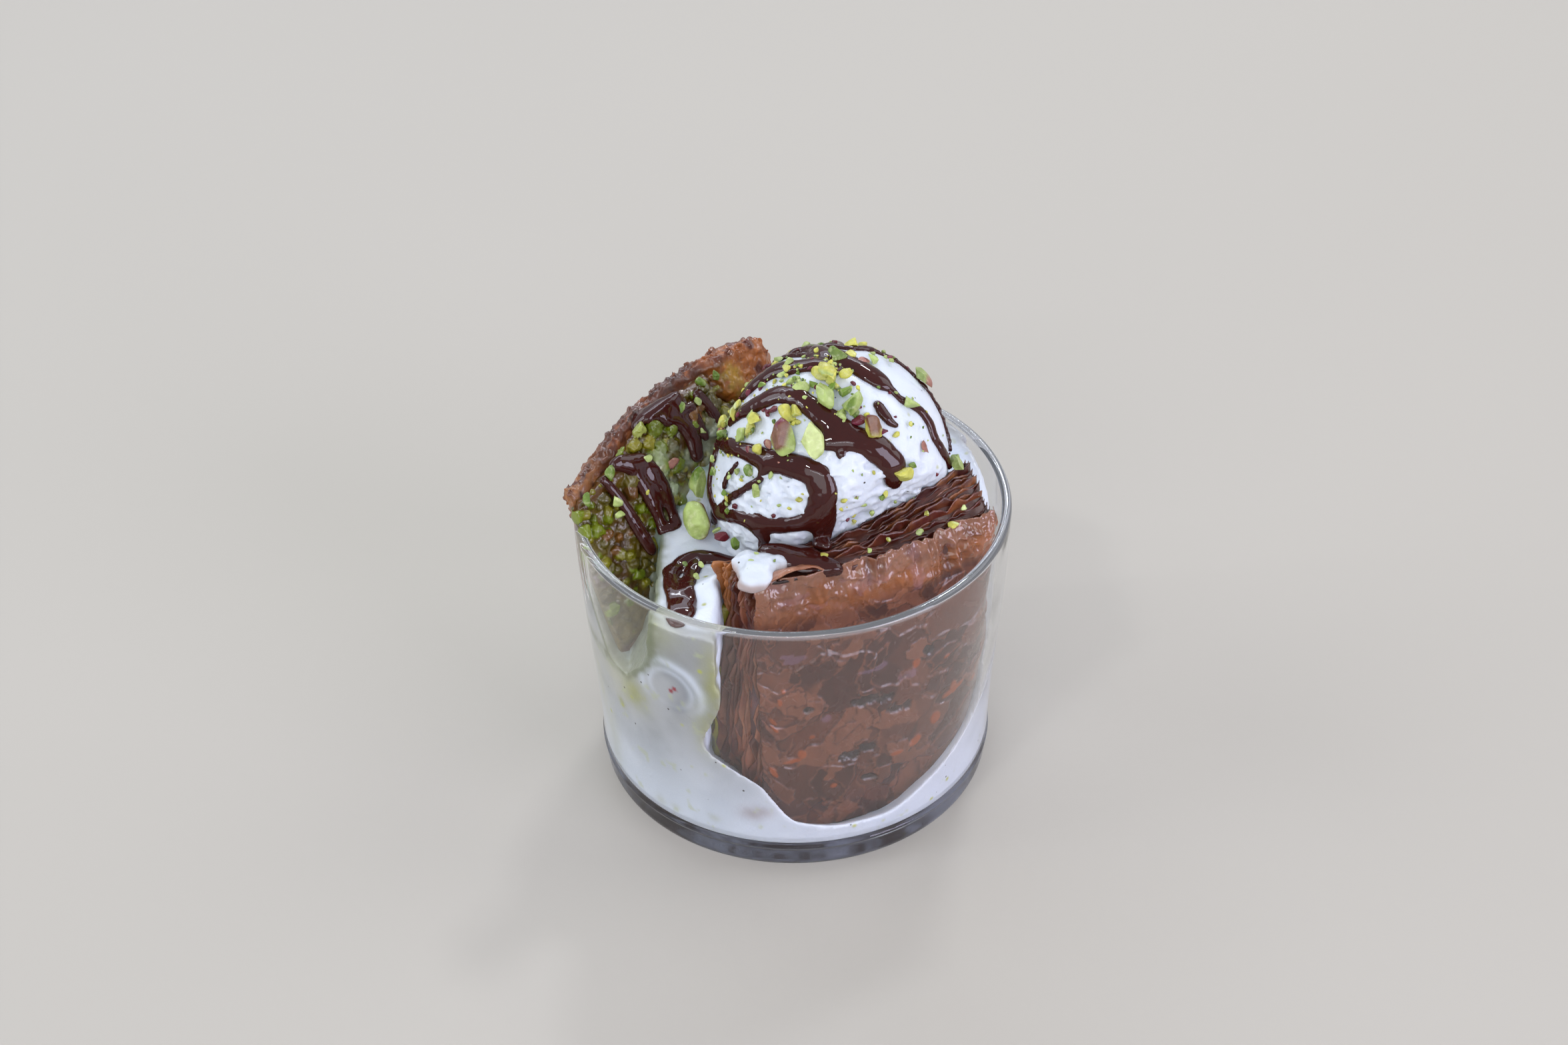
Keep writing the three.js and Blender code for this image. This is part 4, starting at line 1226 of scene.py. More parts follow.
HOLES = [
    (-0.8, 36.3, 3.0, 1.0), (2.6, 35.4, 1.7, 1.1), (6.2, 31.6, 2.2, 1.2),
    (-13.5, 37.6, 1.5, 0.9), (-5.6, 24.0, 3.0, 1.0), (-1.4, 24.6, 1.9, 1.0),
    (13.4, 41.2, 1.6, 1.0), (-1.8, 17.2, 2.2, 0.7),
]
DROPS = [
    (18.8, 27.6, 0.8, 1.5), (17.6, 26.8, 1.3, 0.6), (20.2, 26.8, 0.8, 0.5),
    (14.1, 23.9, 1.1, 1.2), (9.1, 21.9, 1.3, 0.9), (4.7, 21.3, 1.4, 0.5), (10.9, 40.0, 0.8, 1.0),
    (17.7, 36.9, 0.7, 0.4), (-19.2, 40.6, 0.5, 0.7), (-18.0, 43.0, 0.5, 0.5),
    (-12.8, 30.5, 0.5, 0.4), (-20.8, 35.1, 0.7, 0.6), (-20.6, 33.6, 0.8, 0.5),
    (-15.2, 26.9, 0.8, 0.9), (-17.3, 25.7, 1.6, 0.5), (-9.4, 17.9, 0.6, 0.5),
    (23.5, 25.1, 0.5, 0.4), (-21.5, 21.7, 0.8, 1.0),
]
# places where a window's reflection is painted on the glaze
PAINTED_WINDOW_REFLECTIONS = [
    (2.1, 62.6, 2.8, 1.8), (5.7, 65.0, 2.0, 1.6), (-17.8, 66.4, 3.4, 0.9),
    (-14.6, 62.8, 3.0, 0.8), (-10.6, 60.2, 1.8, 1.0), (11.5, 65.6, 1.0, 2.2),
    (12.3, 60.4, 1.3, 2.4), (-3.0, 64.6, 2.2, 0.8), (20.0, 64.0, 1.2, 1.2),
    (-15.5, 49.7, 2.4, 0.7), (-17.0, 50.8, 1.4, 0.6), (7.7, 37.9, 2.0, 1.5),
    (-9.2, 34.4, 2.0, 0.9), (1.3, 43.0, 2.2, 0.6),
]
DROP_GROWTH = 1.15
grown_drops = [(a, b, DROP_GROWTH * c, DROP_GROWTH * d) for a, b, c, d in DROPS]
hole, drop, gloss = marks(HOLES, 0.7), marks(grown_drops, 0.2), marks(PAINTED_WINDOW_REFLECTIONS, 1.0)
relief = relief - 0.35 * hole + 0.15 * drop
print("relief of the face:", np.round([relief.min(), relief.max()], 2), "mm")

# %% Colours of the glazed face
face_pale = paint(140, 94, 68)
face_brown = paint(112, 69, 50)
face_dark = paint(80, 46, 36)
wet_orange = paint(132, 60, 18)
hole_shade_grey = paint(52, 40, 38)
glaze_top = paint(144, 94, 68)
glaze_low = paint(140, 74, 10)
mirrored_window = paint(178, 150, 186)

broad_tone = 0.3 * crumple(flat, 12, 551, 2)
face_tint = mixed(face_brown, face_pale, np.clip(3.2 * tone + broad_tone, 0, 1))
face_tint = layered(face_tint, [
    (face_dark, np.clip(-3.2 * tone - broad_tone, 0, 1)),
    # painted highlight along the flakes' edges, painted shadow beside them
    (1.15 * face_pale, np.clip(flake_edge_light_and_shade, 0, 1) * 0.6),
    (face_dark, np.clip(-flake_edge_light_and_shade, 0, 1) * 0.7),
])
# behind the glass the face is painted darker, as painted shade, and darker still towards its foot
through_glass = mixed(np.array([0.54, 0.43, 0.42]), WHITE, above_rim)
face_tint = face_tint * through_glass * between(0.84, 1.0, ease(z, 14, 42))[..., None]
glaze = mixed(glaze_low, glaze_top, ease(z + 4 * crumple(flat, 6, 555, 3), 58.5, 66))
face_tint = layered(face_tint, [
    (glaze, above_rim * 0.85),
    # the pleats get a painted highlight on their crests and painted shade in their folds
    (glaze_top, ease(pleats, 0.35, 0.95) * pleat_share * 0.7),
    (face_dark, ease(-pleats, 0.0, 0.6) * pleat_share * 0.9),
])
stained = ease(crumple(flat, 4.5, 557, 3), 0.15, 0.8) * above_rim
face_tint = mixed(face_tint, paint(88, 38, 22), stained * 0.55)
left_shade = above_rim * (1 - ease(t, -16, -3))
face_tint = face_tint * mixed(WHITE, np.array([0.82, 0.8, 0.8]), left_shade)
face_tint = layered(face_tint, [
    # painted window reflections
    (mirrored_window, gloss * between(0.12, 0.08, above_rim)),
    (wet_orange, drop * 0.85),
    # the holes are painted dark, as painted shade inside them
    (hole_shade_grey * 0.7, hole * 0.9),
])
print("mean colour of the face:", face_tint.reshape(-1, 3).mean(axis=0).round(3))

# %% Mesh of the glazed face
ragged_top = 0.5 * crumple(flat * (1, 0.2, 1), 2.4, 561, 3)
ragged_left = 0.35 * crumple(flat * (0.2, 1, 1), 2.4, 571, 3)
foot = front_foot(t)
share = (z - FRONT_FOOT) / (FRONT_TOP - FRONT_FOOT)
z_now = foot + (front_top(t, 0) + 0.3 + ragged_top - foot) * share
edge_share = 1 - ease(t, FRONT_LEFT - 1.6, FRONT_LEFT + 5)
t_now = t - edge_share * (FRONT_LEFT_SPREAD * (1 - share) - 1.6 - ragged_left)
lifted_edge = 1.1 * bump(t + 12, 6) * ease(z, FRONT_TOP - 3.5, FRONT_TOP)
rolled_back = 0.9 * ease(z, FRONT_TOP - 3.5, FRONT_TOP + 1) * (1 - 0.8 * bump(t + 13, 5))
inward = 0.35 - relief - lifted_edge * 0.4 + rolled_back
front = front_place(t_now, inward, z_now)
back = front_place(t_now, inward + 0.3, z_now)
print("face is", front.shape[0], "by", front.shape[1], "corners")
corners, faces = closed_sheet(front, back)
face_tints = np.concatenate([face_tint.reshape(-1, 3), face_tint.reshape(-1, 3) * 0.7])
make_piece("front_glazed_face", corners, [outward(corners, faces)], face_material,
           tint=face_tints)

# %% [markdown]
# At the left the outermost leaf has come loose: its free edge stands up along the top of the
# face, and under it is a slit in deep shade. A flap that is hinged at its back, and a strip
# beneath it painted dark as shade, give both.

# %% Loose leaf
t, share = np.meshgrid(np.arange(-19.8, -6.8, 0.25), np.linspace(0, 1, 14), indexing="ij")
flat = np.stack([t, share * 4, np.zeros_like(t)], axis=-1)
arch = ease(t, -19.8, -14.5) * (1 - ease(t, -10.5, -7.0))
inward = -0.1 + 3.2 * share + 0.25 * crumple(flat, 3, 581)
rise = 0.15 + arch * 1.75 * np.cos(0.5 * math.pi * share) + 0.22 * crumple(flat, 2.2, 582) * arch
slice_top = front_top(t, inward / FRONT_THICKNESS)
slit = closed_sheet(front_place(t, inward + 0.1, slice_top + 0.25),
                    front_place(t, inward + 0.1, slice_top - 0.3))
flap = closed_sheet(front_place(t, inward, slice_top + rise + 0.3),
                    front_place(t, inward, slice_top + rise))
corners = np.concatenate([flap[0], slit[0]])
faces = [outward(*flap), outward(*slit) + len(flap[0])]
flap_tint = mixed(paint(182, 132, 104), BROWN_LEAF, 0.5 + 0.5 * crumple(flap[0], 2, 583))
# the strip under the flap is painted dark, as painted shade
slit_shade_tint = np.broadcast_to(0.5 * DARK_LEAF, slit[0].shape)
make_piece("front_loose_leaf", corners, faces, leaf_material,
           tint=np.clip(np.concatenate([flap_tint, slit_shade_tint]), 0, 1))

# %% [markdown]
# ## The left slice
# The left slice has soaked up so much syrup that its leaves stick together. Only their
# ends show, as a rough sugary crust along the top edge, so this slice is a field of
# distances with fine ridges where the leaves end. The bare piece at its right end is thicker,
# and orange where light comes through the syrup.

# %% Crust of the left slice
CRUST_STEP = 0.3


def back_flakes(chord, slope):
    """Leaves have flaked off the back: the values of each flake, and how near its border is."""
    own, _, border = patchwork(chord, slope, 8.0, 735, 0.26)
    return own, border


crust_low = np.array([-6.5, -1.2, -36], np.float32)
crust_points = sample_grid(crust_low, (59, 10.4, 18), CRUST_STEP)
chord, depth, slope = (crust_points[..., i] for i in range(3))
layers = crumple(crust_points * (0.16, 1.9, 0.3), 1.0, 701, 2)
layers_right = crumple(crust_points * (0.3, 1.9, 0.16), 1.0, 702, 2)
sugar = crumple(crust_points, 1.1, 711, 2) * 1.25
lumps = crumple(crust_points, 4.5, 721, 3)
filling_end = LEFT_FILLING_END - sooner(slope)
thickness = between(LEFT_PASTRY, 8.6, ease(chord, filling_end - 1, filling_end + 5))
left_end = 1 - ease(chord, -2, 8)
right_end = ease(chord, LEFT_LENGTH - 12, LEFT_LENGTH)
leaning = chord + left_end * (0.5 * depth - 0.24 * np.minimum(slope, 0)) + right_end * 0.8 * depth
top_line = top_edge(chord)
top_side = slope - top_line + 0.55 * layers + 0.5 * sugar + 0.6 * lumps - 0.7
left_side = -3.2 - leaning + 0.4 * layers_right + 0.4 * sugar + 0.5 * lumps
right_side = leaning - LEFT_LENGTH - 0.8 + 0.6 * layers_right + 0.5 * sugar + 1.2 * lumps
own, border = back_flakes(crust_points[:, 0, :, 0], crust_points[:, 0, :, 2])
flakes = 0.45 * (own[..., 0] < 0.5) * ease(border, 0, 0.4)
creases = np.abs(crumple(crust_points * (1, 0.3, 0.4), 4, 731, 3))
back_side = -depth + 0.12 + 0.28 * creases + flakes[:, None, :]
bare = ease(chord, filling_end - 2, filling_end + 4)
face_side = depth - thickness + bare * (0.5 * sugar + 0.6 * lumps)
crust = soft_maximum(top_side, soft_maximum(back_side, face_side, 0.8), 1.0)
crust = soft_maximum(crust, soft_maximum(left_side, right_side, 0.5), 1.0)
crust = np.maximum(crust, -LEFT_DEPTH - slope)
print("crust grid:", crust.shape)

# %% Mesh of the crust
local, faces = skin(crust, crust_low, CRUST_STEP)
corners = left_place(local[:, 0], local[:, 1], local[:, 2])
CRUST_BROWN = paint(94, 48, 28)
CRUST_LIGHT = paint(152, 92, 56)
CRUST_DARK = paint(50, 24, 16)
AMBER = paint(170, 96, 32)
AMBER_DARK = paint(106, 46, 22)
crust_tint = mixed(CRUST_BROWN, CRUST_LIGHT, ease(crumple(local, 1.7, 741), 0.1, 0.9))
dark_streaks = ease(crumple(local * (0.2, 1.6, 0.4), 1.2, 742), 0.05, 0.8)
crust_tint = mixed(crust_tint, CRUST_DARK, dark_streaks * 0.8)
crust_tint = mixed(crust_tint, CRUST_DARK, ease(crumple(local, 7, 743), 0.2, 0.9) * 0.6)
amber = mixed(AMBER, AMBER_DARK, ease(crumple(local, 3.0, 744), -0.1, 0.7))
bare_corner = local[:, 0] + sooner(local[:, 2]) - LEFT_FILLING_END
bare_corner = ease(bare_corner, -1, 4)
at_back = 1 - ease(local[:, 1], 1.0, 3.4)
own, border = back_flakes(local[:, 0], local[:, 2])
back_tint = mixed(CRUST_BROWN, paint(138, 86, 54), own[..., 1])
back_tint = mixed(back_tint, CRUST_DARK, (1 - ease(border, 0.1, 0.5)) * 0.6)
crust_tint = mixed(crust_tint, back_tint, at_back * 0.7)
crust_tint = mixed(crust_tint, amber, bare_corner * 0.85 * (1 - 0.7 * at_back))
gold_corner = bump(np.hypot(local[:, 0] + 2, local[:, 2] - 1), 5.5)
gold_corner = gold_corner * ease(crumple(local, 2.0, 746), -0.5, 0.5)
crust_tint = mixed(crust_tint, paint(172, 116, 66), gold_corner * 0.75)
nut_stain = bump(np.hypot(local[:, 0] - 40, local[:, 2] - 9), 1.8)
nut_stain = nut_stain + bump(np.hypot(local[:, 0] - 42, local[:, 2] - 4), 1.2)
nut_stain = np.clip(nut_stain * (1 + crumple(local, 1.5, 745)), 0, 0.6) * (1 - at_back)
crust_tint = mixed(crust_tint, paint(166, 138, 32), nut_stain)
crust_piece = make_piece("left_crust", corners, faces, leaf_material,
                         ["left_pastry"], crust_tint)
cut_to_glass(crust_piece, CRUST_REACH)

# %% [markdown]
# ## The pistachio filling
# The filling is ground pistachio bound with syrup. Larger lumps of nut stand out of a
# darker paste, most of them near the top. The paste is a field, each lump is a small
# rounded field of its own, and where they are blended the paste creeps up the lumps.

# %% Lumps of nut
LEFT_FACE = LEFT_PASTRY + 0.3 + LEFT_FILLING
BRIGHT_GREEN = paint(126, 150, 12)
YELLOW_LUMP = paint(152, 152, 40)
OLIVE_LUMP = paint(104, 96, 34)
PALE_SMEAR = paint(164, 182, 128)
BROWN_LUMP = paint(132, 88, 52)
lump_random = np.random.default_rng(47)
lumps_of_nut = []
for row in np.arange(-LEFT_DEPTH + 1, 14, 1.9):
    for column in np.arange(-5, LEFT_FILLING_END + 2, 1.9):
        spot_c = column + lump_random.uniform(-0.9, 0.9)
        spot_s = row + lump_random.uniform(-0.9, 0.9)
        high = ease(spot_s, -14, 2)
        radius = 0.55 + lump_random.uniform() ** 2.4 * between(0.6, 1.25, high)
        squash = lump_random.uniform(0.65, 1.0, 3) * (1.25, 1.0, 1.1)
        # lumps of one colour lie together, as they come from one nut
        patch = float(unevenness(np.array([[spot_c, spot_s, 0.0]]), 4.5, 48)[0])
        kind = 0.55 * lump_random.uniform() + 0.45 * (0.5 + 0.8 * patch)
        colour = BRIGHT_GREEN if kind < 0.36 else YELLOW_LUMP if kind < 0.52 else OLIVE_LUMP
        colour = BROWN_LUMP if kind > 0.78 else colour
        colour = colour * lump_random.uniform(0.65, 1.0)
        edge = top_edge(spot_c) - 1.6
        if spot_s < edge and spot_c < LEFT_FILLING_END + 1 - sooner(spot_s):
            lumps_of_nut.append((spot_c, spot_s, radius, squash, colour))
# the largest lumps have places of their own: chord, slope, radius, tall, colour
PLACED = [
    (15.0, 0.6, 2.0, 1.35, BRIGHT_GREEN), (16.9, 3.4, 1.3, 1.0, BRIGHT_GREEN),
    (5.4, 6.6, 1.4, 1.0, BRIGHT_GREEN), (7.5, 7.4, 1.5, 1.0, BRIGHT_GREEN),
    (7.0, 5.2, 1.1, 1.0, BRIGHT_GREEN), (11.3, 6.4, 1.4, 0.9, YELLOW_LUMP),
    (14.3, 5.6, 1.4, 1.0, YELLOW_LUMP), (-5.4, -6.8, 1.5, 0.9, YELLOW_LUMP),
    (-6.6, -12.4, 1.4, 1.0, YELLOW_LUMP), (-6.1, -29.4, 1.2, 1.8, 1.2 * YELLOW_LUMP),
    (-8.0, -22.1, 1.4, 1.0, BRIGHT_GREEN), (-4.2, -25.0, 1.3, 1.0, YELLOW_LUMP),
    (13.4, 9.0, 1.7, 1.0, PALE_SMEAR), (26.7, 6.4, 1.9, 1.3, BROWN_LUMP),
    (-1.5, -9.5, 1.2, 1.2, BRIGHT_GREEN), (0.6, -12.6, 1.2, 1.0, YELLOW_LUMP),
    (-2.6, -15.6, 1.3, 1.0, OLIVE_LUMP),
]
for spot_c, spot_s, radius, tall, colour in PLACED:
    lumps_of_nut.append((spot_c, spot_s, radius, np.array([1.0, 0.8, tall]), colour))
print("lumps of nut:", len(lumps_of_nut))

# %% Field of the filling
PASTE_STEP = 0.27
paste_low = np.array([-8.0, 3.6, -36], np.float32)
paste_points = sample_grid(paste_low, (46, 13.4, 15.5), PASTE_STEP)
chord, depth, slope = (paste_points[..., i] for i in range(3))
leaning = chord + (1 - ease(chord, -3, 8)) * (0.5 * depth - 0.24 * np.minimum(slope, 0))
top_line = top_edge(chord)
broad = crumple(paste_points, 5.0, 801, 3)
grainy = crumple(paste_points, 1.0, 811, 2)
face_side = depth - (LEFT_FACE - 0.9) - 0.8 * broad - 0.3 * grainy
top_side = slope - top_line + 1.7 + 0.6 * broad + 0.3 * grainy
end_side = leaning - LEFT_FILLING_END + sooner(slope) - 0.6 + 0.8 * broad
left_side = -2.2 - leaning + 0.4 * grainy
paste_field = soft_maximum(face_side, top_side, 2.2)
paste_field = soft_maximum(paste_field, soft_maximum(end_side, left_side, 0.5), 1.6)
paste_field = np.maximum(np.maximum(paste_field, LEFT_PASTRY - 0.8 - depth), -LEFT_DEPTH - slope)
lump_field = np.full(paste_field.shape, 5.0, np.float32)
lump_number = np.zeros(paste_field.shape, np.int32)
for number, (spot_c, spot_s, radius, squash, _) in enumerate(lumps_of_nut):
    end = 1 - ease(spot_c, -3, 8)
    shifted = spot_c - end * (0.5 * LEFT_FACE - 0.24 * min(spot_s, 0))
    centre = np.array([shifted, LEFT_FACE - 0.9 + 0.3 * radius, spot_s])
    low = ((centre - paste_low - radius * 1.4 - 0.6) / PASTE_STEP).astype(int)
    high = ((centre - paste_low + radius * 1.4 + 0.9) / PASTE_STEP).astype(int)
    low, high = np.maximum(low, 0), np.minimum(high, lump_field.shape)
    if (high <= low).any():
        continue
    cut = tuple(slice(a, b) for a, b in zip(low, high))
    value = (np.linalg.norm((paste_points[cut] - centre) / squash, axis=-1) - radius) * 0.8
    value = value + 0.3 * grainy[cut] + 0.3 * broad[cut]
    closer = value < lump_field[cut]
    lump_field[cut] = np.where(closer, value, lump_field[cut])
    lump_number[cut] = np.where(closer, number, lump_number[cut])
filling_field = soft_minimum(paste_field, lump_field, 0.7)
filling_field = np.maximum(filling_field, slope - top_line - 0.2)
filling_field = np.maximum(filling_field, LEFT_PASTRY - 0.8 - depth)
print("filling grid:", filling_field.shape)

# %% [markdown]
# The nuts in the filling are wet with syrup and those on top are dry. One finish makes both:
# `gloss` is the syrup's clear coat, `sink` how deep the light goes in, and `dust` the pale
# powder of the chopping.


# %% Nut finish
def nut_finish(name, gloss, sink, dust=0.0):
    f = Finish(name)
    place = f.place()
    tint = f.tint()
    mottle = f.noise(place, 500, 4)
    base = f.blend(f.ramp(mottle, 0.35, 0.7, 0, 0.6), tint, (0.62, 0.6, 0.5), "MULTIPLY")
    if dust:
        # the pale dust of the cut nuts clings to their green insides, hardly to the dark skin
        green = f.add("SeparateColor", {0: tint}).outputs[1]
        speckled = f.ramp(f.noise(place, 900, 5), 0.5, 0.68, 0, dust)
        powder = f.math("MULTIPLY", speckled, f.ramp(green, 0.08, 0.2, 0.1, 1.0))
        base = f.blend(powder, base, srgb(226, 226, 178))
    grain = f.noise(place, 1600, 4)
    return f.principled({
        "Base Color": base,
        "Roughness": f.ramp(mottle, 0.3, 0.7, 0.55 - 0.3 * gloss, 0.42 - 0.28 * gloss),
        "Subsurface Weight": sink,
        "Subsurface Radius": (0.9, 1.0, 0.35),
        "Subsurface Scale": 0.001,
        "Coat Weight": gloss,
        "Coat Roughness": 0.08,
        "Normal": f.relief(f.math("ADD", grain, f.math("MULTIPLY", mottle, 2.0)), 0.0002, 0.5),
    })


syrupy_nut = nut_finish("syrupy_filling", 0.55, 0.12)
dry_nut = nut_finish("chopped_nut", 0.16, 0.1, dust=0.28)
print("finishes of the nuts:", syrupy_nut.name, dry_nut.name)

# %% Mesh of the filling
local, faces = skin(filling_field, paste_low, PASTE_STEP)
corners = left_place(local[:, 0], local[:, 1], local[:, 2])
cell = np.rint((local - paste_low) / PASTE_STEP).astype(int)
cell = tuple(np.clip(cell, 0, np.array(lump_field.shape) - 1).T)
nearest = lump_number[cell]
lump_share = 1 - ease(lump_field[cell], -0.05, 0.45)
lump_colours = np.array([entry[4] for entry in lumps_of_nut])
PASTE_GREEN = paint(106, 92, 22)
PASTE_BROWN = paint(84, 54, 30)
GELATO_FILM = paint(172, 182, 160)
paste_tint = mixed(PASTE_GREEN, PASTE_BROWN, ease(crumple(local, 6, 821), -0.1, 0.7))
crust_share = ease(local[:, 2] - top_edge(local[:, 0]), -5.5, -2.5)
paste_tint = mixed(paste_tint, CRUST_BROWN, crust_share * 0.7)
filling_tint = mixed(paste_tint, lump_colours[nearest], lump_share)
near_gelato = ease(local[:, 0], 9, 16) * (1 - ease(local[:, 2], 0, 7))
film = ease(crumple(local, 4, 823), -0.2, 0.5) * near_gelato * 0.65
behind_glass = 1 - ease(corners[:, 2], 60, 66)
in_the_open, through_glass = np.array([0.86, 0.76, 0.32]), np.array([0.8, 0.74, 0.25])
filling_tint = filling_tint * mixed(in_the_open, through_glass, behind_glass)
filling_tint = mixed(filling_tint, GELATO_FILM, film)
filling_piece = make_piece("left_filling_paste", corners, faces, syrupy_nut,
                           ["left_filling"], filling_tint)
cut_to_glass(filling_piece, FILLING_REACH)

# %% [markdown]
# ## Chopped nuts
# A knife leaves flat faces on a nut, pale green inside, and the rest keeps its dark skin.
# Each piece starts as a ball. Corners beyond a few random planes are pushed back on to the
# planes, which gives the flat cuts.


# %% One chopped nut
def ball_points(subdivisions):
    shape = bmesh.new()
    bmesh.ops.create_icosphere(shape, subdivisions=subdivisions, radius=1)
    corners = np.array([v.co for v in shape.verts])
    faces = np.array([[v.index for v in face.verts] for face in shape.faces])
    shape.free()
    return corners, faces


def chopped(base, random, cuts=6):
    """Corners of one chopped piece about 1 long, and how far each corner lies on a cut face."""
    points = base.copy()
    on_cut = np.zeros(len(points))
    for _ in range(cuts):
        normal = unit(random.normal(size=3))
        beyond = points @ normal - random.uniform(0.35, 0.75)
        points = points - np.maximum(beyond, 0)[:, None] * normal
        on_cut = np.maximum(on_cut, beyond > -0.02)
    points = points * (1 + 0.12 * unevenness(points + random.uniform(0, 50, 3), 0.5, 5)[:, None])
    size = points.max(axis=0) - points.min(axis=0)
    return (points - (points.max(axis=0) + points.min(axis=0)) / 2) / size, on_cut


def turned_to(out, spin):
    """Axes of a piece that lies flat on a surface with this outward direction."""
    helper = np.array([1.0, 0, 0]) if abs(out[0]) < 0.8 else np.array([0, 1.0, 0])
    first = unit(np.cross(helper, out))
    second = np.cross(out, first)
    along = math.cos(spin) * first + math.sin(spin) * second
    return np.stack([along, np.cross(out, along), out])


LIGHT_GREEN = paint(172, 190, 110)
YELLOW_GREEN = paint(206, 202, 88)
DEEP_GREEN = paint(104, 132, 36)
PURPLE_SKIN = paint(108, 20, 48)
PALE_CUT = paint(206, 218, 148)
DARK_RED = paint(104, 8, 28)
SKIN_PINK = paint(176, 118, 104)

nut_bases = {level: ball_points(level) for level in (2, 3, 4)}


class NutPile:
    """Collects chopped pieces and makes one mesh of them."""

    def __init__(self, seed):
        self.random = np.random.default_rng(seed)
        self.corners, self.faces, self.tints, self.count = [], [], [], 0

    def add(self, place, out, size, spin, inside, skin_colour,
            level=2, cuts=6, skin_side=None, groove=0.0):
        kept_skin = skin_side is not None
        base, faces = nut_bases[level]
        points, on_cut = chopped(base, self.random, cuts)
        points[:, 2] -= groove * bump(points[:, 1], 0.12) * (points[:, 2] > 0)
        if skin_side is None:
            skin_side = self.random.normal(size=3)
        skin_share = 1 - on_cut * (0.15 if kept_skin else 0.85)
        skin_share = skin_share * ease(points @ unit(skin_side), -0.05, 0.22)
        tint = mixed(np.broadcast_to(inside, points.shape), skin_colour, skin_share)
        uneven = 1 + 0.14 * unevenness(points * 6 + self.count, 1, 9)[:, None]
        tint = tint * (0.85 + 0.3 * self.random.uniform()) * uneven
        axes = turned_to(np.asarray(out, float), spin)
        self.corners.append((points * size) @ axes + place)
        self.faces.append(faces + self.count)
        self.tints.append(np.clip(tint, 0, 1))
        self.count += len(points)

    def make(self, name, material, replaces=()):
        make_piece(name, np.concatenate(self.corners), [np.concatenate(self.faces)],
                   material, replaces, np.concatenate(self.tints))


print("corners of a large nut:", len(nut_bases[4][0]))

# %% [markdown]
# ## The front slice's filling
# Only a thin yellow-green edge of the front slice's own filling shows, at the back of its
# cut side.

# %% Edge of the front filling
t_line = np.linspace(FRONT_LEFT - 0.6, FRONT_RIGHT, 70)
z_line = np.linspace(FRONT_FOOT, 57.0, 60)
t, z = np.meshgrid(t_line, z_line, indexing="ij")
flat = np.stack([t, z, np.zeros_like(t)], axis=-1)
left = 1 - ease(t, FRONT_LEFT, FRONT_LEFT + 6)
t_now = t - left * (front_spread(z) + 0.5 * unevenness(flat, 2, 91))
z_now = np.maximum(z, melted_floor(t_now) - 2)
t_now = t_now - left * left_skew(z_now) * 10
near = front_place(t_now, 10.1 + 0.3 * unevenness(flat, 3, 92), z_now)
far = front_place(t_now, 11.9 + 0.3 * unevenness(flat, 3, 93), z_now)
corners, faces = closed_sheet(near, far)
edge_tint = mixed(paint(150, 142, 48), PASTE_BROWN, ease(crumple(corners, 3, 94), 0, 0.8))
make_piece("front_paste", corners, [outward(corners, faces)], syrupy_nut,
           ["front_filling"], edge_tint)

# %% [markdown]
# ## The dab of gelato
# A spoonful of gelato has melted on the front slice's left corner. It is a field too, of
# six flat ovals that flow together, and where it is thin the brown leaves shine through.

# %% Dab
DAB_STEP = 0.33
dab_centre = front_place(np.array(-18.0), np.array(4.6), np.array(68.6))
dab_low = dab_centre - (10, 9, 4.5)
dab_points = sample_grid(dab_low, dab_centre + (10, 9, 4.5), DAB_STEP)
along_t = dab_points @ front_along
inward = front_face_distance(along_t, dab_points[..., 2]) - dab_points @ front_out
rise = dab_points[..., 2] - front_top(along_t, inward / FRONT_THICKNESS)
along_t = along_t + 1.5 * unevenness(dab_points, 4.2, 103) + 0.5 * unevenness(dab_points, 1.7, 104)
inward = inward + 1.2 * unevenness(dab_points, 4.2, 105) + 0.5 * unevenness(dab_points, 1.7, 106)
dab = np.full(rise.shape, 9.0, np.float32)
HEAPS = [  # along, inward, height, length, width, thickness
    [-20.4, 4.8, 0.4, 2.9, 4.2, 1.6], [-17.2, 5.0, 0.4, 3.2, 3.0, 1.7],
    [-14.6, 5.2, 0.1, 2.2, 1.9, 1.1], [-22.0, 1.2, -0.4, 1.5, 2.0, 1.2],
    [-19.8, 0.9, -0.3, 2.0, 1.3, 0.9], [-19.0, 8.0, 0.2, 3.0, 1.6, 1.3],
]
for heap_along, heap_inward, heap_rise, length, width, thick in HEAPS:
    oval = ((along_t - heap_along) / length) ** 2 + ((inward - heap_inward) / width) ** 2
    oval = np.sqrt(oval + ((rise - heap_rise) / thick) ** 2)
    dab = soft_minimum(dab, (oval - 1) * thick, 1.2)
torn_top = 0.3 * torn_relief(dab_points) * ease(rise, 0, 1.5)
dab = dab - torn_top - 0.3 * unevenness(dab_points, 2.6, 101)
corners, faces = skin(dab, dab_low, DAB_STEP)
over_slice = corners[:, 2] - FRONT_TOP
thin = 1 - ease(over_slice + 0.4 * unevenness(corners, 2.4, 107), 0.0, 1.3)
dab_tint = mixed(np.array([0.9, 0.9, 0.89]), paint(196, 160, 140), thin * 0.75)
make_piece("gelato_spoonful", corners, faces, gelato_finish("dab_of_gelato", painted=True),
           ["gelato_dab"], dab_tint)

# %% [markdown]
# ## The chocolate sauce
# The sauce was poured in one thread that went to and fro. Each stroke is a line over what
# carries it. Round every point of the line the field of the sauce is half an ellipse that
# rests on the carrier, and neighbouring strokes flow together.

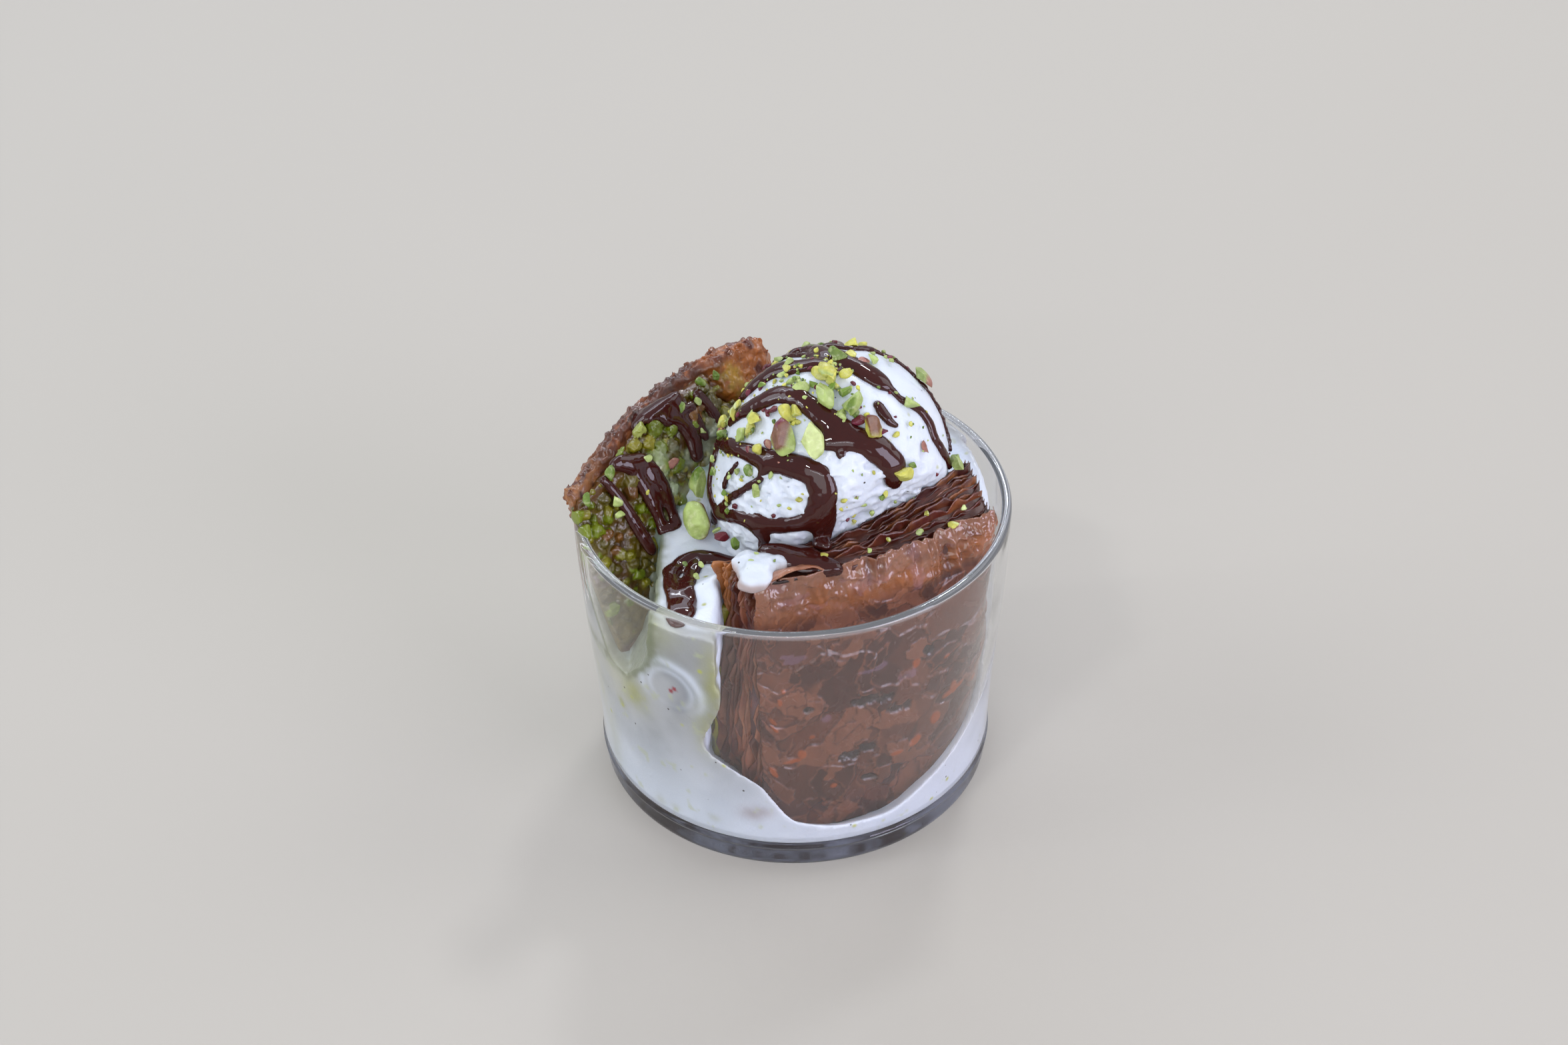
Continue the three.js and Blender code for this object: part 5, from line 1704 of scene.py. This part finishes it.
# %% What carries the sauce
SAUCE_STEP = 0.4
sauce_low = np.array([-46, -44, 44], np.float32)
sauce_points = sample_grid(sauce_low, (46, 40, 98), SAUCE_STEP)
carrier = pool_field(sauce_points)
ball_distance, _ = scoop_field(sauce_points)
close = np.abs(ball_distance) < 3
ball_distance[close] -= 0.35 * unevenness(sauce_points[close], 6, 31)
carrier = np.minimum(carrier, ball_distance)
chord, deep, slope = left_coordinates(sauce_points)
left_top = top_edge(chord)
left_box = np.maximum(np.maximum(deep - LEFT_FACE - 0.3, -deep), slope - left_top + 0.6)
left_box = np.maximum(left_box, chord - LEFT_LENGTH)
carrier = np.minimum(carrier, left_box)
along = sauce_points @ front_along
inward = front_face_distance(along, sauce_points[..., 2]) - sauce_points @ front_out
rise = sauce_points[..., 2] - front_top(along, inward / FRONT_THICKNESS)
front_box = np.maximum(np.maximum(-inward, inward - FRONT_THICKNESS), rise + 0.3)
front_box = np.maximum(front_box, np.maximum(FRONT_LEFT - along, along - FRONT_RIGHT))
carrier = np.minimum(carrier, front_box)
print("carrier grid:", carrier.shape)


# %% Strokes
def smooth_line(points, spacing=0.5):
    """A soft curve through the points, each with its width in the last place."""
    points = np.array(points, float)
    before = 2 * points[0] - points[1]
    after = 2 * points[-1] - points[-2]
    padded = np.vstack([before, points, after])
    line = []
    for p0, p1, p2, p3 in zip(padded, padded[1:], padded[2:], padded[3:]):
        count = max(2, int(np.linalg.norm((p2 - p1)[:3]) / spacing))
        share = np.linspace(0, 1, count, endpoint=False)[:, None]
        line.append(0.5 * (2 * p1 + (p2 - p0) * share + (2 * p0 - 5 * p1 + 4 * p2 - p3) * share**2
                           + (3 * p1 - p0 - 3 * p2 + p3) * share**3))
    line.append(points[-1:])
    return np.vstack(line)


sauce = np.full(carrier.shape, 3.0, np.float32)
carrier_slopes = np.gradient(carrier, SAUCE_STEP)


def settled(points):
    """Moves points along the slope of the carrier's field until they lie on its surface."""
    points = np.array(points, float)
    for _ in range(3):
        cell = np.rint((points[:, :3] - sauce_low) / SAUCE_STEP).astype(int)
        cell = tuple(np.clip(cell, 1, np.array(carrier.shape) - 2).T)
        slope_here = np.stack([side[cell] for side in carrier_slopes], axis=-1)
        steep = np.maximum((slope_here**2).sum(axis=-1), 0.2)
        move = np.clip(carrier[cell] / steep, -1.5, 1.5)
        points[:, :3] -= move[:, None] * slope_here
    return points


def pour(points, rise=1.0):
    """Adds one stroke: points are [x, y, z, width] near the carrier, in mm."""
    stroke = np.full(carrier.shape, 3.0, np.float32)
    touched_low, touched_high = np.array(carrier.shape), np.zeros(3, int)
    for x, y, z, width in settled(smooth_line(points)):
        centre = np.array([x, y, z])
        half = max(0.62 * width * (1 + 0.16 * float(unevenness(centre[None], 3, 61)[0])), 0.3)
        tall = rise * (0.5 + 0.3 * half)
        low = ((centre - sauce_low - half - 1.2) / SAUCE_STEP).astype(int)
        high = ((centre - sauce_low + half + 1.6) / SAUCE_STEP).astype(int) + 1
        low, high = np.maximum(low, 0), np.minimum(high, carrier.shape)
        if (high <= low).any():
            continue
        cut = tuple(slice(a, b) for a, b in zip(low, high))
        away = sauce_points[cut] - centre
        above = carrier[cut]
        aside = np.sqrt(np.maximum((away * away).sum(axis=-1) - above * above, 0))
        value = (np.sqrt((aside / half) ** 2 + (above / tall) ** 2) - 1) * min(half, tall)
        stroke[cut] = np.minimum(stroke[cut], value)
        touched_low = np.minimum(touched_low, low)
        touched_high = np.maximum(touched_high, high)
    cut = tuple(slice(a, b) for a, b in zip(touched_low, touched_high))
    sauce[cut] = soft_minimum(sauce[cut], stroke[cut], 0.9)


def above_scoop(towards, lift=0.0):
    return SCOOP_CENTRE + towards * (scoop_radius(towards[None])[0] + lift)


def on_scoop(strokes):
    """Pours strokes over the scoop, with one more point between each two, on its surface."""
    for places in strokes:
        points = [[*above_scoop(direction(azimuth, elevation)), width]
                  for azimuth, elevation, width in places]
        dense = []
        for a, b in zip(points, points[1:]):
            middle_point = (np.array(a) + b) / 2
            away = middle_point[:3] - SCOOP_CENTRE
            on_surface = above_scoop(away / np.linalg.norm(away))
            dense += [a, [*on_surface, middle_point[3]]]
        pour([*dense, points[-1]])


# each place is [azimuth, elevation, width] seen from the scoop's centre
SCOOP_STROKES = [
    [[179, 24, 2.2], [189, 40, 3.2], [201, 56, 3.8], [221, 62, 3.8], [243, 60, 4], [260, 55, 4],
     [273, 50, 4]],
    [[262, 44, 3.2], [278, 45, 4.6], [289, 42, 4.4], [297, 35, 4.4], [301, 28, 4.6],
     [302, 20, 3.6], [303, 16, 2.2]],
    [[163, 24, 1.8], [165, 34, 3], [163, 45, 3.8], [162, 55, 4], [167, 67, 4], [173, 81, 3.8],
     [230, 86, 3.2]],
    [[146, 46, 1], [135, 47, 1.2], [134, 57, 1.2], [134, 68, 1.2], [142, 78, 1.2]],
    [[123, 52, 2.2], [118, 53, 2.6], [112, 54, 2]],
    [[114, 59, 3], [113, 75, 3.8], [85, 81, 3.8], [11, 82, 4], [-14, 75, 4.2], [-22, 66, 3]],
    [[-22, 66, 2], [-23, 60, 1.5], [-26, 53, 1.3], [-21, 47, 1.7], [-18, 41, 1.9], [-18, 33, 2.2],
     [-21, 26, 2.2], [-20, 17, 2], [-16, 6, 1.6]],
    [[92, 60, 2.8], [90, 50, 3.4], [94, 40, 3.2], [92, 29, 2.8], [90, 18, 2.6], [91, 10, 2.0]],
    [[62, 56, 2.2], [60, 46, 2.6], [57, 36, 2.0], [55, 28, 1.6]],
    [[124, 50, 2.4], [122, 40, 2.8], [119, 28, 2.6], [117, 16, 2.2], [116, 6, 1.6]],
    [[119, 28, 2.2], [108, 24, 2.0], [92, 29, 2.4]],
    [[99, 62, 1.4], [72, 66, 1.4], [57, 53, 1.4], [46, 49, 1.2], [36, 43, 1.1], [27, 38, 1],
     [19, 30, 1],
     [11, 21, 0.9], [5, 14, 0.9], [-1, 5, 0.9]],
    [[-50, 58, 1.7], [-50, 53, 2.2], [-49, 48, 1.5], [-46, 45, 1]],
    [[176, 9, 2], [193, 18, 2.6], [211, 25, 3.2], [225, 27, 3.6], [237, 29, 3.8], [249, 29, 4],
     [258, 27, 4.4],
     [261, 19, 4.6], [261, 9, 4.6], [261, 1, 4.8], [262, -5, 3.6]],
    [[176, 9, 2], [179, 4, 2.2], [182, 0, 2], [186, -5, 1.8], [189, -9, 1.8], [191, -12, 1.4]],
    [[182, 0, 1.6], [185, -5, 1.6], [190, -10, 2], [204, -11, 2.4], [218, -5, 3],
     [230, -4, 3.6], [243, -1, 3.2],
     [251, 2, 3], [257, 6, 3.2]],
    [[227, 22, 1.4], [226, 17, 1.4], [220, 10, 1.4], [211, 0, 1.6], [204, -11, 1.6]],
    [[230, -4, 3], [234, -11, 2.6], [232, -18, 2.4], [232, -25, 2.6]],
    [[-151, 17, 0.9], [-154, 9, 1], [-154, 3, 0.8]],
    [[196, -18, 2.6], [196.5, -19, 2.6]],
    [[-89, 37, 1.6], [-88.5, 37, 1.6]],
]
on_scoop(SCOOP_STROKES)
print("sauce on the scoop:", int((sauce < 0).sum()), "cells")

# %% Sauce on the slices and the melted gelato
LEFT_STROKES = [  # chord, depth, slope, width
    [[13.5, 7.0, 11.6, 3.2], [17, 8.0, 12.4, 4.6], [20.5, 8.8, 12.8, 4.8],
     [23.5, 9.4, 12.2, 3.4]],
    [[15, 3.5, 10.2, 2.6], [18, 5.5, 10.2, 4], [20.5, 7.5, 10.2, 4.6], [23, 9.0, 9.6, 3.6],
     [25, 9.8, 8.4, 2]],
    [[20.4, 9.5, 8.2, 3.2], [23.2, 9.6, 6.4, 4], [24.4, 9.6, 2.4, 3.6], [24, 9.6, -1.6, 3]],
    [[29.5, 9.4, 9.6, 2.8], [31.1, 9.6, 6, 2.6], [32.2, 9.6, 1.6, 2]],
    [[26.8, 9.6, 8.2, 2.2], [27.7, 9.6, 0.8, 1.6]],
    [[5, 9.4, 5.4, 3.4], [7.4, 9.7, 4, 3.8], [10.6, 9.8, 2.8, 3.8], [12.6, 9.8, -0.2, 3.6]],
    [[0.8, 9.5, 3.6, 1.8], [2.6, 9.7, -1, 2.4], [4, 9.8, -7.4, 3], [5.2, 9.8, -13.4, 3],
     [5.5, 9.8, -15, 1.8]],
    [[8, 9.7, 3.6, 3], [9.6, 9.8, -2.6, 3.6], [9.9, 9.8, -7.4, 3], [9.8, 9.8, -12.6, 2.4]],
    [[12.4, 9.8, 0, 3.6], [13.4, 9.8, -5, 3.4], [13.4, 9.8, -9.4, 2.8], [12.8, 9.8, -16.4, 2.4]],
]
for stroke in LEFT_STROKES:
    pour([[*left_place(np.array(a), np.array(b), np.array(d)), 0.8 * w] for a, b, d, w in stroke])
GELATO_STROKES = [  # x, y, width
    [[-4.5, -17, 2], [-8.5, -15.6, 2.4], [-12.5, -13.8, 2.8], [-16, -12.6, 2.4],
     [-19, -13.5, 2.2],
     [-20.6, -18, 2.6], [-21.2, -25, 3], [-22, -30.4, 4], [-22.2, -33.2, 3.4]],
    [[-24.6, -16.6, 2.4], [-24.6, -21, 2.6], [-23.6, -26, 3], [-22.2, -31, 3.4]],
    [[-16, -12.6, 2], [-19, -11.4, 2.2], [-22.4, -13, 2.4], [-24.6, -16.6, 2.4]],
]
for stroke in GELATO_STROKES:
    pour([[x, y, float(gelato_height(x, y)), w] for x, y, w in stroke])
SLICE_STROKES = [  # along, inward, width
    [[-14.5, 10.5, 2.6], [-12.6, 8.0, 4.6], [-10.4, 5.6, 5.6], [-8.2, 3.4, 5.4],
     [-6.2, 1.6, 4.0], [-4.8, 0.4, 2.2]],
    [[-13.5, 9.4, 3.0], [-11, 8.6, 3.6], [-8.2, 6.4, 3.6]],
    [[-3.8, 9.0, 3.0], [-3.3, 7.6, 2.0]],
]
for stroke in SLICE_STROKES:
    tops = [front_top(np.array(t0), i0 / FRONT_THICKNESS) for t0, i0, _ in stroke]
    pour([[*front_place(np.array(t0), np.array(i0), np.array(z0)), w]
          for (t0, i0, w), z0 in zip(stroke, tops)], 1.3)
print("sauce in all:", int((sauce < 0).sum()), "cells")

# %% [markdown]
# Chocolate sauce is nearly black and very smooth, so most of what it shows is what it
# mirrors. A low roughness and long soft waves give it the lights of the windows.


# %% Chocolate finish
def chocolate_finish():
    f = Finish("chocolate_sauce")
    place = f.place()
    depth_of_colour = f.noise(place, 160, 3)
    base = f.blend(depth_of_colour, srgb(48, 15, 12), srgb(66, 24, 18))
    waves = f.noise(place, 240, 2)
    return f.principled({
        "Base Color": base,
        "Roughness": f.ramp(f.noise(place, 500, 3), 0.3, 0.7, 0.03, 0.08),
        "IOR": 1.48,
        "Specular IOR Level": 0.5,
        "Subsurface Weight": 0.1,
        "Subsurface Radius": (1.0, 0.3, 0.15),
        "Subsurface Scale": 0.0006,
        "Normal": f.relief(waves, 0.0003, 0.25),
    })


corners, faces = skin(sauce, sauce_low, SAUCE_STEP)
make_piece("chocolate_sauce", corners, faces, chocolate_finish())

# %% [markdown]
# ## Pistachios on top
# The large pieces stand where the picture has them. The small ones and the crumbs are
# spread by rule: on the scoop's upper left most of all, and some on everything else.

# %% Large pistachios
def scoop_spot(azimuth, elevation, lift):
    towards = direction(azimuth, elevation)
    return above_scoop(towards, lift), towards


LARGE = [  # azimuth, elevation, length, width, thickness, spin, inside, skin, the skin faces out
    [-127, 41, 7.0, 5.2, 4, 20, LIGHT_GREEN, PURPLE_SKIN, True],
    [-107, 43, 7.8, 4.6, 3.4, 8, PALE_CUT, LIGHT_GREEN, False],
    [-105, 66, 6.8, 3.6, 3, 20, LIGHT_GREEN, DEEP_GREEN, False],
    [-76, 62, 5.4, 3.4, 3, -30, LIGHT_GREEN, DEEP_GREEN, False],
    [-121, 80, 5.6, 3.4, 3, 10, YELLOW_GREEN, LIGHT_GREEN, False],
    [-66, 48, 5, 3.8, 3.4, 40, YELLOW_GREEN, PURPLE_SKIN, True],
    [24, 36, 5.6, 4, 2.2, 60, LIGHT_GREEN, SKIN_PINK, False],
]
ELSEWHERE = [  # x, y, z, length, width, thickness, spin, inside, skin
    [-19.6, -5.6, 64.2, 8.2, 5.4, 4, 15, LIGHT_GREEN, PURPLE_SKIN],
    [-19.4, 3.4, 67.4, 6.4, 3.6, 2.4, -15, LIGHT_GREEN, DEEP_GREEN],
    [33.5, -1.6, 74.8, 4.6, 2.6, 2.2, 10, LIGHT_GREEN, DEEP_GREEN],
]
large_nuts = []
for azimuth, elevation, length, width, thick, spin, inside, skin_colour, skin_out in LARGE:
    spot, out = scoop_spot(azimuth, elevation, 0.6 + 0.3 * thick)
    skin_side = (0, 0.2, 1) if skin_out else None
    large_nuts.append((spot, out, (length, width, thick), spin, inside, skin_colour, skin_side))
towards_viewer = unit(np.array([-0.15, -0.75, 0.65]))
for x, y, z, length, width, thick, spin, inside, skin_colour in ELSEWHERE:
    out = towards_viewer if x < 0 else upright
    size = (length, width, thick)
    large_nuts.append((np.array([x, y, z]), out, size, spin, inside, skin_colour, None))
KERNEL = 8  # this one is a nearly whole kernel, with the groove that it splits along
for number, (spot, out, size, spin, inside, skin_colour, skin_side) in enumerate(large_nuts, 1):
    pile = NutPile(900 + number)
    whole = number == KERNEL
    if whole:
        skin_side = (0, 0.6, -1)
    pile.add(spot, out, np.array(size), math.radians(spin), inside, skin_colour, level=4,
             cuts=1 if whole else 7, skin_side=skin_side, groove=0.07 if whole else 0)
    pile.make(f"chopped_pistachio_{number:02d}", dry_nut, [f"pistachio_{number:02d}"])

# %% [markdown]
# The small nuts on the scoop lie where the picture shows them. The others lie on the gelato
# and on both slices.

# %% Small pistachios
KINDS = {  # inside, skin, how thick it is for its length
    "yellow": (YELLOW_GREEN, PALE_CUT, 0.6), "light": (LIGHT_GREEN, PALE_CUT, 0.55),
    "green": (DEEP_GREEN, LIGHT_GREEN, 0.6), "skin": (SKIN_PINK, PURPLE_SKIN, 0.3),
    "purple": (PURPLE_SKIN, PURPLE_SKIN, 0.6), "red": (DARK_RED, PURPLE_SKIN, 0.5),
}
ON_BALL = {  # azimuth, elevation, length
    "yellow": [
        [170, 16, 3.8], [-178, 30, 3], [-154, 41, 4], [-154, 35, 3], [-140, 30, 3.8],
        [-134, 52, 4], [-129, 55, 3], [-133, 78, 4], [-104, 78, 4.6], [-66, 80, 3],
        [74, 63, 3], [66, 55, 2.4], [-55, 22, 4.6], [173, 65, 2.4], [-64, 12, 1.8],
        [178, 33, 2.6], [45, 80, 2.6],
    ],
    "light": [
        [-157, 30, 3.2], [-140, 67, 3.4], [22, 71, 2.6], [-25, 48, 3.6], [-180, 62, 2.2],
        [-133, 12, 3], [116, 54, 2.6], [-160, 40, 2.8], [166, 66, 2.8], [-88, 58, 2.2],
        [140, 50, 2.4],
    ],
    "green": [
        [-129, 71, 2.2], [86, 85, 4.4], [-80, 70, 3], [-180, 51, 2], [-141, 19, 2.6],
        [-147, -4, 1.8], [-176, 19, 2.6], [-98, 72, 2.4], [-48, 24, 2], [-151, 2, 2],
    ],
    "skin": [
        [-136, 35, 2.4], [173, 12, 2.6], [14, 76, 3.4], [-35, 28, 2.6], [-95, 50, 2.6],
        [-147, 26, 2.4], [-126, 30, 2],
    ],
    "purple": [[-74, 53, 3.2], [-61, 45, 3]],
    "red": [[-147, 50, 2.4], [-150, 47, 2], [-143, 0, 1.8]],
}
ON_GELATO = [  # x, y, z, length, kind
    [-14.4, -10.1, 63.4, 3.2, "red"], [-11.6, -13.1, 63.8, 2.8, "green"],
    [-15.5, -8.2, 63.6, 2, "light"], [-18.5, -18, 62.6, 1.6, "light"],
    [-21.8, -16.4, 61.6, 1.4, "green"], [-19.4, -21.6, 62.4, 1.6, "light"],
]
ON_LEFT = [  # chord, slope, length, kind
    [17.5, -0.5, 3.6, "skin"], [2.5, 4.2, 3.2, "green"], [1.5, -2, 3.4, "light"],
    [12, 3, 2.4, "light"], [31, 12.0, 3.0, "green"], [35, 11.6, 2.4, "green"],
    [9, -3, 1.8, "yellow"], [27, 2.4, 1.8, "light"], [24, 9.4, 3.0, "green"],
    [-4.6, 1.6, 3.0, "green"], [1.2, -4.5, 2.6, "light"], [28.5, 8.6, 2.2, "light"],
]
ON_FRONT = [  # along, inward, length, kind, height above the leaves
    [21.8, 0.8, 2.2, "yellow", 0.7], [14.7, 2.2, 2, "light", 0.7],
    [26, 3.4, 1.8, "light", 0.7], [8, 3, 1.4, "yellow", 0.7], [-6, 3.8, 2.6, "yellow", 0.7],
    [3, 1.6, 1.4, "light", 0.7], [-17, 8, 1.8, "light", 0.7], [18, 5, 1.6, "yellow", 0.7],
    # these last ones lie on the dab of gelato or beside it
    [-19.8, 5.6, 1.4, "light", 1.9], [-17.6, 7.6, 1.2, "light", 1.9],
    [-14.6, 6.4, 2.0, "light", 0.7], [-13.4, 7.8, 1.6, "yellow", 0.7],
    [-15.6, 4.4, 1.0, "green", 1.9], [-21.4, 3.4, 0.9, "light", 1.9],
]
FULL_TURN = 6.28
small_nuts = NutPile(53)
pick = small_nuts.random


def add_small(spot, out, length, kind, tilt=0.0, width=0.66):
    """One small nut. tilt turns it away from how the surface lies, by chance."""
    inside, skin_colour, thick = KINDS[kind]
    if tilt:
        out = unit(out + tilt * pick.normal(size=3))
    size = np.array([length, length * width, length * thick])
    spin = pick.uniform(0, FULL_TURN)
    small_nuts.add(spot, out, size, spin, inside, skin_colour, level=3, cuts=7)


for kind, places in ON_BALL.items():
    for azimuth, elevation, length in places:
        spot, out = scoop_spot(azimuth, elevation, 0.35 + 0.3 * length * KINDS[kind][2])
        add_small(spot, out, length, kind, tilt=0.35)
for x, y, z, length, kind in ON_GELATO:
    add_small(np.array([x, y, z]), towards_viewer, length, kind, tilt=0.3)
for chord_at, slope_at, length, kind in ON_LEFT:
    spot = left_place(np.array(chord_at), np.array(LEFT_FACE + 0.9), np.array(slope_at))
    add_small(spot, left_out, length, kind, tilt=0.25, width=0.62)
for t_at, inward_at, length, kind, lift in ON_FRONT:
    top_here = front_top(np.array(t_at), inward_at / FRONT_THICKNESS) + lift
    spot = front_place(np.array(t_at), np.array(inward_at), top_here)
    add_small(spot, upright, length, kind)
small_nuts.make("small_pistachios", dry_nut)

# %% [markdown]
# The crumbs are strewn by chance: thickest at the scoop's upper left, thinner at its back.

# %% Crumbs
FRONT_CRUMBS, BACK_CRUMBS = 330, 140
CRUMB_GREENS = [LIGHT_GREEN, YELLOW_GREEN, DEEP_GREEN, YELLOW_GREEN, LIGHT_GREEN]
crumbs = NutPile(59)
pick = crumbs.random
for number in range(FRONT_CRUMBS + BACK_CRUMBS):
    in_front = number < FRONT_CRUMBS
    azimuth = pick.normal(-140, 55) if in_front else pick.normal(95, 50)
    elevation = pick.uniform(-5, 88 if in_front else 60)
    length = 0.5 + 1.5 * pick.uniform() ** 2.2
    spot, out = scoop_spot(azimuth, elevation, 0.15 if pick.uniform() < 0.5 else 0.8)
    inside = CRUMB_GREENS[pick.integers(len(CRUMB_GREENS))]
    if pick.uniform() < 0.14:
        inside = DARK_RED if pick.uniform() < 0.5 else PURPLE_SKIN
    crumbs.add(spot, out, np.array([length, length * 0.7, length * 0.6]),
               pick.uniform(0, FULL_TURN), inside, inside * 0.7, level=2, cuts=5)
crumbs.make("nut_crumbs", dry_nut)

# %% [markdown]
# ## The table, the light and the air
# A plain warm pale floor, wide enough to fill the picture. Large soft lamps stand for
# windows: they give the sauce and the glass long soft reflections.

# %% Floor
FLOOR_WIDTH = 14  # metres
FLOOR_GAP = 0.0002  # the glass stands this far above it, so that no two faces coincide


def floor_finish():
    f = Finish("pale_table")
    place = f.place()
    base = f.blend(f.noise(place, 3, 2), srgb(181, 175, 165), srgb(185, 179, 169))
    return f.principled({"Base Color": base, "Roughness": 0.6, "IOR": 1.3})


bpy.ops.mesh.primitive_plane_add(size=FLOOR_WIDTH, location=(0, 0, -FLOOR_GAP))
floor = bpy.context.object
floor.name = "table"
floor.data.materials.append(floor_finish())
print("floor is", FLOOR_WIDTH, "m wide")

# %% [markdown]
# The larger an area lamp, the softer its shadow. The wide ones light the dessert, and the
# narrow ones draw the thin highlights on the rim and the sauce.

# %% Lamps
LAMP_AIM = Vector((0, 0, 0.06))
LAMPS = [  # name, place, width and height, power, colour
    ("window_right", (0.9, 0.3, 0.8), (0.9, 0.8), 4.0, (0.93, 0.96, 1.0)),
    ("window_back", (-0.35, 1.15, 0.85), (1.4, 0.6), 4.6, (0.80, 0.86, 1.0)),
    ("window_left", (-1.1, 0.1, 0.7), (0.9, 0.6), 5.2, (0.86, 0.91, 1.0)),
    ("front_fill", (-0.3, -1.2, 0.65), (1.3, 0.7), 5.4, (0.92, 0.96, 1.0)),
    ("window_low", (0.95, -0.75, 0.45), (0.7, 0.65), 7.8, (0.82, 0.79, 1.0)),
    ("pane_back", (0.25, 0.75, 0.95), (0.16, 0.07), 2.6, (0.92, 0.95, 1.0)),
    ("pane_front", (-0.5, -0.6, 1.0), (0.14, 0.05), 1.7, (0.95, 0.97, 1.0)),
    ("slit_back", (-0.2, 1.1, 0.95), (1.3, 0.03), 2.3, (0.84, 0.90, 1.0)),
    ("slit_left", (-1.1, -0.1, 0.8), (0.03, 0.7), 1.3, (0.88, 0.92, 1.0)),
    ("slit_front", (-0.1, -1.2, 0.8), (1.0, 0.03), 1.7, (0.88, 0.90, 1.0)),
]


def soft_lamp(name, place, size, power, colour):
    data = bpy.data.lights.new(name, "AREA")
    data.shape = "RECTANGLE"
    data.size, data.size_y = size
    data.energy = power
    data.color = colour
    lamp = bpy.data.objects.new(name, data)
    lamp.location = place
    lamp.visible_camera = False  # a view from the other side would look into the lamp
    lamp.rotation_mode = "QUATERNION"
    lamp.rotation_quaternion = (Vector(place) - LAMP_AIM).to_track_quat("Z", "Y")
    bpy.context.scene.collection.objects.link(lamp)


for lamp_values in LAMPS:
    soft_lamp(*lamp_values)
print("lamps:", [values[0] for values in LAMPS])

# %% [markdown]
# The room around gives a weak bluish light from all sides.

# %% Air
AIR_COLOUR = (0.86, 0.91, 1.0, 1)
AIR_STRENGTH = 0.47
world = bpy.data.worlds.new("room")
bpy.context.scene.world = world
world.use_nodes = True
air = world.node_tree.nodes["Background"]
air.inputs["Color"].default_value = AIR_COLOUR
air.inputs["Strength"].default_value = AIR_STRENGTH
bpy.context.scene.view_settings.view_transform = "Standard"
print("air strength:", AIR_STRENGTH)

# %% [markdown]
# ## Last step
# The view layer is brought up to date.

# %% Last update
bpy.context.view_layer.update()
